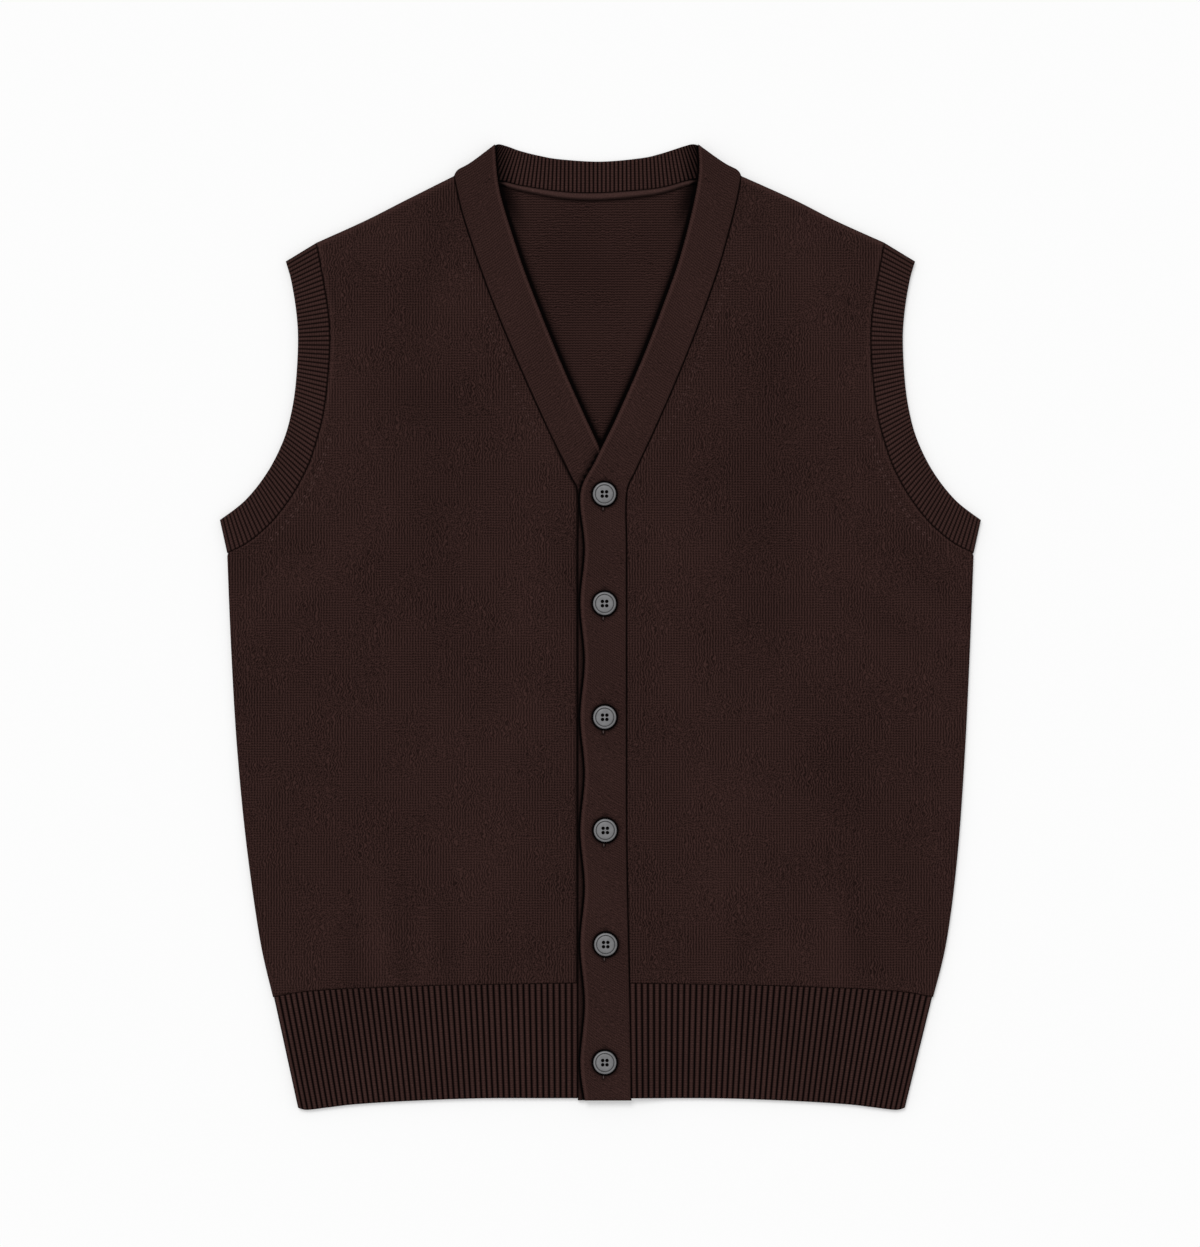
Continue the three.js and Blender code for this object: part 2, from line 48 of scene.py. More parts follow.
LENGTH = 695.5  # hem to the neck points
GAP = 0.3  # between layers that touch
SEAM_GAP = -0.1  # between two pieces at a seam, where their rounded edges meet
PANEL_CLOTH = 2.0  # plain-knit panels
RIB_CLOTH = 1.7  # ribbed pieces, in the grooves
RIB_RISE = 0.9  # height of a rib over its grooves
RIB_RISE_BELOW = 0.6  # the same in an underside
BAND_CLOTH = 2.6  # double-knit front bands
TAPE_CLOTH = 0.9  # tape over the back neck seam, at its edges
TAPE_CROWN = 0.5  # how much thicker it is along its middle
EDGE_HEIGHT = 0.5  # where a piece's two faces meet, as a share of its thickness
EDGE_HEIGHT_ON_FLOOR = 0.3

HEM_RIB_PITCH = 4.05
HEM_RIB_CROWDING_AT_EDGE = 0.07  # how much closer the ribs lie at the side, as a share of the pitch
HEM_RIB_CROWDING_AT_SEAM = 0.035
ARMHOLE_RIB_PITCH = 3.1
NECK_RIB_PITCH = 3.0
GROOVE_NARROWNESS = 5
WALE = 2.0  # from one column of plain stitches to the next
COURSE = 1.85  # from one row of them to the next

PANEL_PUFF = 1.2  # how far a front stands off the back in its middle
SIDE_FALL = 0.9  # how far a front's face comes down along its side
SIDE_FALL_WIDTH = 6.0
SIDE_SHARE = 10 / 26  # of a front's outer edge: the side seam, below the armhole
SWAY = 2.0  # how far the sides lie to the right at the height SWAY_AT
SWAY_AT = 110.0
SWAY_SPREAD = 120.0
BACK_STEP = 6.0  # from one row of the back's points to the next
BACK_STEP_IN_V = 1.8
BACK_STEP_EASE = (430.0, 470.0)

LAP_SEAM = 16.3  # seam of the left front and its band, left of the centre line
PLACKET_WIDTH = 31.7  # of the left band
LAP_RUNOUT = 32.0  # width over which the right front comes down from the lap
LAP_EASE = (482.0, 545.0)  # heights between which the right band comes down from the left one
NECK_EASE = (590.0, 650.0)  # heights between which the bands rise over the neck seam
FREE_EDGE_AT_BUTTON = -14.4  # of the right band
FREE_EDGE_BETWEEN = -11.2  # halfway between two buttons
FOLD_SWELL = 2.3  # how far a band swells out at its shoulder fold
FOLD_SWELL_SHARE = 0.1  # how far in from the seam it swells most, as a share of the width
FOLD_SWELL_REACH = 0.5  # how far down the band that goes, in rows of its table
BAND_END = 6.9  # lower end of the front bands
BAND_STEP = 2.2  # from one row of a band's points to the next
BAND_STEP_AT_BUTTON = 0.85
BAND_STEP_BETWEEN = 2.35
BAND_STEP_EASE = (12.0, 18.0)  # distances from a button over which the step widens

NECK_LEAN_SHARE = 0.12  # how much further in a neck rib's upper end lies, NECK_LEAN_AT from the middle
NECK_LEAN_AT = 70.0
NECKBAND_ENDS = (-101.0, 88.0)
TAPE_ENDS = (-92.0, 88.0)
TAPE_WIDTH = 5.2
TAPE_END_WIDTH = 2.6

BUTTON_PLACES = ((3.2, 34.4), (3.8, 119.3), (3.5, 201.4), (3.1, 282.8), (3.0, 364.6), (2.9, 443.4))
BUTTON_HEIGHTS = tuple(y for x, y in BUTTON_PLACES)
BUTTON_RADIUS = 8.35
BUTTON_THICKNESS = 3.1
BUTTON_HOLE_RADIUS = 1.3
BUTTON_HOLE_SPACING = 3.1
BUTTON_SHADED_GROOVE = (6.25, 6.8)  # radii between which the turned groove gets the darker horn as painted shade
BUTTON_SHADED_RIM = 0.18  # width of the outermost rim, which gets the darker horn as painted shade
THREAD_RADIUS = 2.9  # of the thread below a button
THREAD_HEIGHT = 0.6
BAR_AT = (-1.0, -10.6)  # the stitched bar, from the button's centre
BAR_SIZE = (0.9, 2.3, 0.8)
HOLE_END_AT = 10.5  # upper end of the buttonhole, above the button's centre

FRONT_REST = PANEL_CLOTH + GAP
NECK_LIFT = TAPE_CLOTH + GAP
LAP_LIFT = BAND_CLOTH + GAP
BUTTON_REST = FRONT_REST + LAP_LIFT + BAND_CLOTH + GAP

# Shadows, each as its depth, the distance up to which it is full and the distance where it ends.
SHADOWS = {
    "armhole seam": (0.9, 0.1, 1.0),
    "front seam": (0.95, 0.1, 1.0),
    "hem seam of front": (0.2, 0.1, 1.0),
    "hem seam of rib": (0.25, 0.1, 1.0),
    "band seam": (0.95, 0.15, 1.3),
    "rib seam": (0.9, 0.1, 0.9),
    "rib end": (0.35, 0.2, 2.0),
    "neck seam": (0.8, 0.1, 1.6),
    "neck at band": (0.6, 0.3, 3.0),
    "neck near band": (0.5, 2.0, 15.0),
    "button": (0.97, BUTTON_RADIUS + 0.4, BUTTON_RADIUS + 2.0),
    "near button": (0.4, 9.0, 12.5),
    "bar": (0.75, 0.9, 2.2),
    "hole end": (0.45, 0.96, 3.2),
    "lap": (0.95, 0.2, 2.6),
    "near lap": (0.45, 1.5, 7.0),
    "end of left seam": (0.8, 0.4, 3.0),
    "back at band": (0.97, 0.8, 5.0),
    "back near band": (0.3, 3.0, 9.0),
    "neck corner": (0.9, 3.0, 16.0),
    "back below tape": (0.65, 0.3, 1.8),
    "tape at band": (0.9, 1.0, 7.0),
    "tape's upper edge": (0.5, 0.1, 1.2),
    "tape's lower edge": (0.7, 0.5, 2.4),
}
# Ridges beside seams and folds, as their height, how far in they lie and their width.
RIDGES = {
    "front at armhole": (0.55, 3.0, 1.4),
    "front at band": (0.2, 2.6, 1.5),
    "band's free edge": (0.35, 2.6, 1.5),
    "band at seam": (0.25, 2.4, 1.4),
}
# Painted highlights along the tops of edges, in the same way.
PAINTED_HIGHLIGHTS = {
    "front at armhole": (0.5, 2.3, 1.0),
    "shoulder": (0.75, 1.8, 1.4),
    "band's free edge": (0.8, 1.6, 0.9),
}
# How dark the painted shade in the grooves between ribs is, and how sharply it keeps to them.
HEM_GROOVE_SHADE = (1.1, 0.75)
ARMHOLE_GROOVE_SHADE = (1.1, 1.0)
NECK_GROOVE_SHADE = (1.05, 0.95)
# Painted highlight on the crests of the armhole ribs.
ARMHOLE_CREST_PAINTED_HIGHLIGHT = 0.12
CREASE_PAINTED_LIGHTING = 0.16  # painted highlight on a crease's ridge and painted shade in its trough, by its height

# Tables of the cut, (x, y) in each row; x counts outward from the centre line where both sides share
# one.

HEM_EDGE = [(218.5, 1.6), (212, 0), (196, 1.8), (178, 3.9), (144, 6.1), (90, 8.2), (40, 8.4)]
HEM_SEAM = [(237, 81.3), (214, 85.2), (175, 87.6), (125, 89.4), (60, 90.6)]
CENTRE_HEM_EDGE = 8.4
CENTRE_HEM_SEAM = 91.4
SIDE_SEAM = [
    (237.7, 81.8), (247.3, 122.4), (256.0, 187.2), (262.1, 259.2), (266.0, 331.2), (268.8, 401.0),
]
ARMHOLE_SEAM = [
    (268.8, 401.0), (254.0, 408.6), (237.2, 423.0), (223.1, 441.0), (214.0, 457.0), (207.3, 473.0),
    (199.4, 502.6), (195.3, 541.4), (195.4, 568.0), (199.2, 595.0), (204.6, 624.4),
]
ARMHOLE_EDGE = [
    (274.0, 424.8), (255.6, 439.2), (239.6, 459.6), (228.2, 482.4), (222.3, 503.6),
    (219.2, 525.6), (217.8, 554.4), (219.2, 576.0), (222.8, 597.6), (226.6, 611.0),
]
SHOULDER = [(204.6, 624.4), (169.2, 640.4), (140.0, 655.2), (105.4, 672.5)]

# Front bands in the V, from the shoulder fold down: (seam x, seam y, free edge x, free edge y).
LEFT_BAND_V = [
    (-105.4, 672.5, -76.0, 695.3),
    (-99.4, 645.2, -72.6, 662.3),
    (-86.3, 605.4, -60.2, 620.5),
    (-74.9, 575.1, -49.1, 589.5),
    (-56.4, 531.1, -30.9, 544.2),
    (-37.9, 490.2, -14.9, 507.6),
    (-21.7, 456.8, 2.0, 471.5),
]
RIGHT_BAND_V = [
    (101.4, 672.5, 70.4, 695.3),
    (97.9, 652.9, 70.2, 668.2),
    (86.3, 609.7, 58.3, 617.5),
    (71.6, 567.7, 44.7, 578.2),
    (54.8, 525.4, 29.4, 539.0),
    (37.4, 485.8, 11.7, 498.8),
    (25.9, 461.0, -3.4, 467.9),
]
RIGHT_PLACKET_SEAM_AT_V = 19.0
RIGHT_PLACKET_SEAM_AT_HEM = 22.4
RIGHT_PLACKET_SLANT_TO = 220.0
NECK_SEAM = [
    (-105.4, 672.5), (-73.0, 668.9), (-56.4, 665.3), (-27.6, 661.0), (-1.0, 660.2),
    (31.4, 662.4), (46.5, 664.6), (69.6, 670.3), (101.4, 672.5),
]
NECK_FREE_EDGE = [
    (-77.0, 694.4), (-73.1, 695.5), (-67.1, 694.0), (-57.8, 690.7), (-44.3, 687.3), (-29.0, 684.7),
    (-0.3, 683.0), (28.4, 685.4), (42.8, 688.5), (60.7, 694.2), (67.0, 695.5), (72.0, 694.2),
]

# Soft troughs and ridges in the fronts, (x, y, angle in degrees, length, width, height), unevenly
# spaced as loosely laid cloth has them.
FRONT_FOLDS = [
    (-178, 118, 88, 46, 8, -0.9), (-161, 126, 96, 58, 8, 0.8), (-143, 114, 91, 42, 8, -0.8),
    (-127, 122, 85, 50, 7, 0.6), (-110, 112, 90, 36, 8, -0.7), (-92, 118, 86, 44, 8, 0.5),
    (-215, 372, 40, 70, 16, 0.8), (-226, 350, 36, 58, 13, -0.7), (-60, 300, 82, 150, 20, 0.6),
    (-130, 480, 100, 120, 26, -0.6), (-170, 560, 74, 90, 22, 0.6), (-118, 628, 66, 60, 13, -0.5),
    (212, 368, 142, 66, 15, 0.8), (224, 344, 146, 60, 13, -0.7), (62, 250, 97, 170, 22, 0.6),
    (120, 430, 80, 130, 26, -0.6), (150, 585, 104, 80, 20, 0.5), (116, 632, 118, 54, 12, -0.5),
    (84, 118, 87, 44, 9, 0.5), (103, 110, 94, 40, 8, -0.6), (168, 120, 90, 50, 9, 0.6),
    (186, 128, 95, 40, 8, -0.6), (200, 196, 118, 90, 18, -0.5),
]
# The same in the back, as shallow hollows of its underside, for it lies on a flat floor.
BACK_FOLDS = [
    (-150, 118, 92, 50, 9, 0.5), (-118, 112, 86, 40, 8, 0.4), (40, 122, 88, 46, 9, 0.5),
    (132, 116, 95, 52, 10, 0.5), (-205, 352, 38, 70, 14, 0.6), (206, 366, 141, 64, 13, 0.5),
    (-20, 300, 84, 160, 20, 0.5), (66, 480, 98, 110, 22, 0.4), (-96, 560, 72, 90, 18, 0.5),
]
FOLD_BOW = 0.12  # how far each one winds, as a share of its width
FOLD_BOW_RATE = 2.4

# Stitches of the shaping, which stand out beside a seam: how far in from it, the heights they run
# between, the step from one to the next and their size as a share of the largest.
SHAPING_AT_ARMHOLE = (8.7, 409.0, 486.0, 5.6, 1.0)
SHAPING_AT_V = (9.2, 482.0, 612.0, 5.9, 0.72)
SHAPING_LOOP = (0.55, 1.15, 0.35)  # half sizes of one loop
SHAPING_LOOP_OFF = 0.85  # from the middle of a pair


# Lines through the tables


def catmull_rom(points, t):
    """Places on the smooth line through `points`, `t` counting their sections from 0."""
    p = np.asarray(points, float)
    last = len(p) - 1
    i = np.clip(np.floor(t).astype(int), 0, last - 1)
    w = (t - i)[..., None]
    before, here, there, after = p[np.maximum(i - 1, 0)], p[i], p[i + 1], p[np.minimum(i + 2, last)]
    out, back = (there - before) / 2, (after - here) / 2
    return (
        (2 * here - 2 * there + out + back) * w**3
        + (3 * there - 3 * here - 2 * out - back) * w**2
        + out * w
        + here
    )


def traced(points, steps=60):
    return catmull_rom(points, np.linspace(0, len(points) - 1, steps * (len(points) - 1) + 1))


def through(trace, at, t):
    """The trace read at `t` where its own points lie at the rising values `at`."""
    return np.stack([np.interp(t, at, trace[:, k]) for k in (0, 1)], -1)


def line(points):
    """Read by its share of length from 0 to 1."""
    trace = traced(points)
    along = np.concatenate([[0], np.cumsum(np.hypot(*np.diff(trace, axis=0).T))])
    return lambda t: through(trace, along / along[-1], t)


def line_by_rows(points):
    """Read row by row, so that two lines of as many rows match section for section."""
    return lambda t: catmull_rom(points, np.asarray(t, float) * (len(points) - 1))


def line_across(points, first, last, spread=lambda x: x):
    """Read by its share of the way from `first` to `last` in x, before `spread` moves that x."""
    trace = traced(points)
    return lambda t: through(trace, trace[:, 0], spread(first + (last - first) * np.asarray(t, float)))


def joined(*parts):
    """Lines end to end, each with its own share of 0 to 1."""

    def at(t):
        t = np.asarray(t, float)
        result = np.zeros(t.shape + (2,))
        start = 0.0
        for share, along in parts:
            here = (t >= start - 1e-9) & (t <= start + share + 1e-9)
            result[here] = along(np.clip((t[here] - start) / share, 0, 1))
            start += share
        return result

    return at


def crowded(along, share):
    """Even steps lie closer at the line's start than at its end, by `share` of a step."""
    return lambda t: along(t + share * (t * t - t))


def beside(along, distance):
    """The line moved `distance` to the right of its own direction."""

    def at(t):
        step = 1e-3
        way = along(np.minimum(t + step, 1)) - along(np.maximum(t - step, 0))
        way /= np.linalg.norm(way, axis=-1, keepdims=True)
        return along(t) + distance * np.stack([way[..., 1], -way[..., 0]], -1)

    return at


def reversed_line(along):
    return lambda t: along(1 - np.asarray(t, float))


def mirrored(points):
    return [(-x, y) for x, y in points]


def shifted(points, dy):
    return [(x, y + dy) for x, y in points]


def line_length(along):
    return float(np.hypot(*np.diff(along(np.linspace(0, 1, 200)), axis=0).T).sum())


# Places on a piece: each gives x and y for shares u and v


def between(low, high):
    return lambda u, v: low(u) + (high(u) - low(u)) * v[..., None]


def inside(low, high, start, end):
    def at(u, v):
        u1, v1 = u[..., None], v[..., None]
        across = low(u) * (1 - v1) + high(u) * v1
        up = start(v) * (1 - u1) + end(v) * u1
        zero, one = np.zeros_like(u), np.ones_like(u)
        corners = (low(zero) * (1 - u1) + low(one) * u1) * (1 - v1)
        corners += (high(zero) * (1 - u1) + high(one) * u1) * v1
        return across + up - corners

    return at


def on_side(side, place):
    return lambda u, v: place(u, v) * (side, 1)


def swayed(place):
    """Moved to the right where the lower part lies askew, by more the further out a place is."""

    def at(u, v):
        xy = place(u, v)
        x, y = xy[..., 0], xy[..., 1]
        sway = SWAY * np.exp(-(((y - SWAY_AT) / SWAY_SPREAD) ** 2)) * (x / SIDE_SEAM[0][0]) ** 2
        return np.stack([x + sway, y], -1)

    return at


# Curves used for heights


def smoothstep(x, low, high):
    t = np.clip((x - low) / (high - low), 0, 1)
    return t * t * (3 - 2 * t)


def rounded(distance, radius):
    """0 on an edge, rising along a quarter circle to 1 at `radius` in from it."""
    return np.sqrt(1 - (1 - np.clip(distance / radius, 0, 1)) ** 2)


def bump_at(x, centre, width):
    return np.exp(-(((x - centre) / width) ** 2))


def ridge(rule, distance):
    height, centre, width = rule
    return height * bump_at(distance, centre, width)


def folds(table, x, y):
    height = np.zeros_like(x)
    for cx, cy, angle, length, width, rise in table:
        a = math.radians(angle)
        along = (x - cx) * math.cos(a) + (y - cy) * math.sin(a)
        across = -(x - cx) * math.sin(a) + (y - cy) * math.cos(a)
        bend = across - FOLD_BOW * width * np.sin(along / length * FOLD_BOW_RATE)
        height += rise * np.exp(-((along / length) ** 2) - (bend / width) ** 2)
    return height


def unevenness(x, y):
    """The slight waviness of cloth that lies loosely, about a fifth of a millimetre."""
    return (
        0.10 * np.sin(x / 17.3 + 1.3 * np.sin(y / 41.0))
        + 0.08 * np.sin(y / 13.1 + 0.9 * np.sin(x / 29.0) + 2.0)
        + 0.05 * np.sin((x + 1.7 * y) / 9.7 + 0.6)
    )


def distance_to(points, x, y):
    """From each place to the smooth line through `points`."""
    trace = traced(points, 30)
    nearest = np.full(np.shape(x), 1e9)
    for px, py in trace:
        nearest = np.minimum(nearest, np.hypot(x - px, y - py))
    return nearest


def near(distance, low, high):
    """1 up to `low` away, falling to 0 at `high`."""
    return 1 - smoothstep(distance, low, high)


def shadow(name, distance):
    depth, full, gone = SHADOWS[name]
    return depth * near(distance, full, gone)


def deepest(*shades):
    return np.maximum.reduce(shades)


def neck_lift(y):
    return NECK_LIFT * smoothstep(y, *NECK_EASE)


def right_lift(y):
    return np.maximum(neck_lift(y), LAP_LIFT * near(y, *LAP_EASE))


# Shares along a piece


def even(count):
    return np.linspace(0, 1, count + 1)


def rising(count):
    """From 0 to 1 in steps that widen."""
    return np.linspace(0, 1, count) ** 1.6


def with_lips(count, lip, rings=5):
    """Even steps, with closer ones within the share `lip` of both ends, where the edge rounds over."""
    end = lip * rising(rings + 1)
    return np.concatenate([end, np.linspace(lip, 1 - lip, count + 1)[1:-1], 1 - end[::-1]])


def graded(along, step):
    """Shares along a line, as close together as `step` gives for each height."""
    t = np.linspace(0, 1, 8001)
    xy = along(t)
    length = np.hypot(*np.diff(xy, axis=0).T)
    count = np.concatenate([[0], np.cumsum(length / step((xy[1:, 1] + xy[:-1, 1]) / 2))])
    return np.interp(np.linspace(0, count[-1], math.ceil(count[-1]) + 1), count, t)


# Meshes and objects


def smooth_mesh(name, points, faces):
    mesh = bpy.data.meshes.new(name)
    mesh.from_pydata(points, [], faces)
    mesh.polygons.foreach_set("use_smooth", np.ones(len(faces), bool))
    return mesh


def placed(name, data):
    """An object of `data` in the scene."""
    made = bpy.data.objects.new(name, data)
    bpy.context.scene.collection.objects.link(made)
    return made


def riding(name, mesh):
    """A piece of the vest, which rides on its one body."""
    piece = placed(name, mesh)
    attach(piece, "root")
    return piece


def turned(profile, segments):
    """Vertices and faces of a profile of (radius, height) turned round Z, its ends on the axis."""
    angles = np.arange(segments) * math.tau / segments
    ring = np.stack([np.cos(angles), np.sin(angles)], -1)
    points = [(0.0, 0.0, profile[0][1])]
    for radius, height in profile[1:-1]:
        points += [(radius * c, radius * s, height) for c, s in ring]
    points.append((0.0, 0.0, profile[-1][1]))
    faces = []
    rings = len(profile) - 2
    for k in range(segments):
        after = (k + 1) % segments
        faces.append((0, 1 + after, 1 + k))
        for r in range(rings - 1):
            a, b = 1 + r * segments, 1 + (r + 1) * segments
            faces.append((a + k, a + after, b + after, b + k))
        top = 1 + (rings - 1) * segments
        faces.append((top + k, top + after, len(points) - 1))
    return points, faces


def arc(centre, radius, start, end, steps):
    angles = np.radians(np.linspace(start, end, steps))
    return [(centre[0] + radius * math.cos(a), centre[1] + radius * math.sin(a)) for a in angles]


# The shell


class Grid:
    """Places of a piece's points, with each one's distance from the four edges, in millimetres."""

    def __init__(self, place, u, v):
        self.u, self.v = np.meshgrid(u, v)
        xy = place(self.u, self.v)
        self.x, self.y = xy[..., 0], xy[..., 1]
        self.along_u = self.lengths(xy, 1)
        self.along_v = self.lengths(xy, 0)
        self.from_u1 = self.along_u[:, -1:] - self.along_u
        self.from_v1 = self.along_v[-1:, :] - self.along_v

    @staticmethod
    def lengths(xy, axis):
        steps = np.linalg.norm(np.diff(xy, axis=axis), axis=-1)
        pad = [(0, 0), (0, 0)]
        pad[axis] = (1, 0)
        return np.pad(np.cumsum(steps, axis=axis), pad)


def shell(name, grid, rest, cloth, relief, radii, knit, below=0.0, hollows=None):
    """A closed piece of cloth on a grid. Its underside lies `rest` up and its outer face `cloth` above
    that, with `relief` added. `radii` gives how far in the start and end edges of u, then of v, are
    rounded. `knit` gives each point's place in the knitting: across the wales, along them, and its
    painted shade, in grooves and shadows, or under 0 its painted highlight, on ridges; `below` is the
    last of these for the underside. A piece with `hollows` lies on the floor and has them in its
    underside."""
    profile = (
        rounded(grid.along_u, radii[0])
        * rounded(grid.from_u1, radii[1])
        * rounded(grid.along_v, radii[2])
        * rounded(grid.from_v1, radii[3])
    )
    edge_height = EDGE_HEIGHT if hollows is None else EDGE_HEIGHT_ON_FLOOR
    over = rest + cloth * (edge_height + (1 - edge_height) * profile) + relief * profile
    under = rest + cloth * edge_height * (1 - profile)
    if hollows is not None:
        under = under + hollows * profile
    grid.over = over
    rows, columns = grid.x.shape
    inner = np.zeros((rows, columns), bool)
    inner[1:-1, 1:-1] = True
    top_index = np.arange(rows * columns).reshape(rows, columns)
    bottom_index = top_index.copy()
    bottom_index[inner] = rows * columns + np.arange(inner.sum())
    y = grid.y - LENGTH / 2
    top = np.stack([grid.x, y, over], -1).reshape(-1, 3)
    bottom = np.stack([grid.x, y, under], -1)[inner]
    points = np.concatenate([top, bottom]) * MM

    def quads(index):
        corners = (index[:-1, :-1], index[:-1, 1:], index[1:, 1:], index[1:, :-1])
        return np.stack(corners, -1).reshape(-1, 4)

    faces = np.concatenate([quads(top_index), quads(bottom_index)[:, ::-1]])
    across = np.array([grid.x[0, -1] - grid.x[0, 0], grid.y[0, -1] - grid.y[0, 0]])
    up = np.array([grid.x[-1, 0] - grid.x[0, 0], grid.y[-1, 0] - grid.y[0, 0]])
    if across[0] * up[1] - across[1] * up[0] < 0:
        faces = faces[:, ::-1]

    def knit_values(painted_shading):
        return np.stack([np.broadcast_to(k, grid.x.shape) for k in (*knit[:2], painted_shading)], -1)

    mesh = smooth_mesh(name, points.tolist(), faces.tolist())
    values = np.concatenate([knit_values(knit[2]).reshape(-1, 3), knit_values(below)[inner]])
    attribute = mesh.attributes.new("knit", "FLOAT_VECTOR", "POINT")
    attribute.data.foreach_set("vector", values.astype(np.float32).ravel())
    in_underside = np.arange(len(faces)) >= (rows - 1) * (columns - 1)
    mesh.polygons.foreach_set("material_index", in_underside.astype(np.int32))
    return riding(name, mesh)


# Materials


class Shader:
    """Nodes of one material, each call adding one and giving its output."""

    def __init__(self, name):
        self.material = bpy.data.materials.new(name)
        self.material.use_nodes = True
        self.tree = self.material.node_tree
        self.surface = self.tree.nodes["Principled BSDF"]

    def put(self, socket, value):
        if isinstance(value, bpy.types.NodeSocket):
            self.tree.links.new(value, socket)
        else:
            socket.default_value = value

    def fill(self, node, **values):
        """Puts each value in the input of that name, where _ stands for a space."""
        for name, value in values.items():
            self.put(node.inputs[name.replace("_", " ")], value)

    def node(self, kind, *values, **settings):
        """The values go to the inputs in their order."""
        node = self.tree.nodes.new("ShaderNode" + kind)
        for name, value in settings.items():
            setattr(node, name, value)
        for socket, value in zip(node.inputs, values):
            self.put(socket, value)
        return node

    def math(self, operation, *values, clamp=False):
        return self.node("Math", *values, operation=operation, use_clamp=clamp).outputs[0]

    def noise(self, place, scale, detail=2.0, roughness=0.5, gain=1.0):
        """Clouds 1 / `scale` across, spread about 0.5 by `gain`."""
        node = self.node("TexNoise")
        self.fill(node, Vector=place, Scale=scale, Detail=detail, Roughness=roughness)
        return self.stretched(node.outputs["Fac"], gain, clamp=gain > 1)

    def stretched(self, value, gain, clamp=False):
        """`value` spread about 0.5 by `gain`."""
        return self.math("MULTIPLY_ADD", value, gain, 0.5 - 0.5 * gain, clamp=clamp)

    def vector(self, x, y):
        return self.node("CombineXYZ", x, y, 0.0).outputs[0]

    def knit_place(self):
        attribute = self.node("Attribute", attribute_name="knit")
        return self.node("SeparateXYZ", attribute.outputs["Vector"]).outputs

    def object_place(self):
        return self.node("TexCoord").outputs["Object"]

    def blend(self, factor, low, high):
        node = self.node("Mix", data_type="RGBA")
        low, high = ((*c, 1) if isinstance(c, tuple) else c for c in (low, high))
        self.fill(node, Factor=factor, A=low, B=high)
        return node.outputs["Result"]

    def bump(self, height, strength, distance):
        node = self.node("Bump")
        self.fill(node, Strength=strength, Distance=distance, Height=height)
        self.fill(self.surface, Normal=node.outputs[0])

    def finish(self, colour, roughness, specular):
        self.fill(self.surface, Base_Color=colour, Roughness=roughness, Specular_IOR_Level=specular)
        return self.material


CLOTH = (0.0258, 0.0124, 0.0108)
TAPE = (0.0420, 0.0215, 0.0190)
# The near black that painted shade blends to, in grooves, at seams and in shadows.
PAINTED_SHADE_COLOUR = (0.0016, 0.0009, 0.0009)
DARKEST = 0.3  # of the cloth's colour
BRIGHTEST = 1.7
FIBRE_CONTRAST = 0.45
BROAD_CONTRAST = 0.16
# How much painted highlight lightens the cloth where the points' painted shade is under 0.
PAINTED_HIGHLIGHT_STRENGTH = 0.6
FLECK_LIGHT = 0.5
STRAY = 1.2  # how far stitches stray, in millimetres
STRAY_IN_PATCH = 5.0  # how much further in a patch of swirls
# Scales of the clouds, whose size is 1 over the scale in millimetres.
PATCH_SCALE = 0.032
STRAY_SCALE = 0.26
SQUARE_SCALE = 0.045
FIBRE_SCALE = 0.9
FIBRE_STRETCH = 1.5
BROAD_SCALE = 0.014
FLECK_SCALE = 0.75


def wave(shader, value, pitch, shift=0.0):
    """0.5 + 0.5 cos of `value` over `pitch`, with `shift` turns added."""
    turns = shader.math("ADD", shader.math("DIVIDE", value, pitch), shift)
    cosine = shader.math("COSINE", shader.math("MULTIPLY", turns, math.tau))
    return shader.math("MULTIPLY_ADD", cosine, 0.5, 0.5)


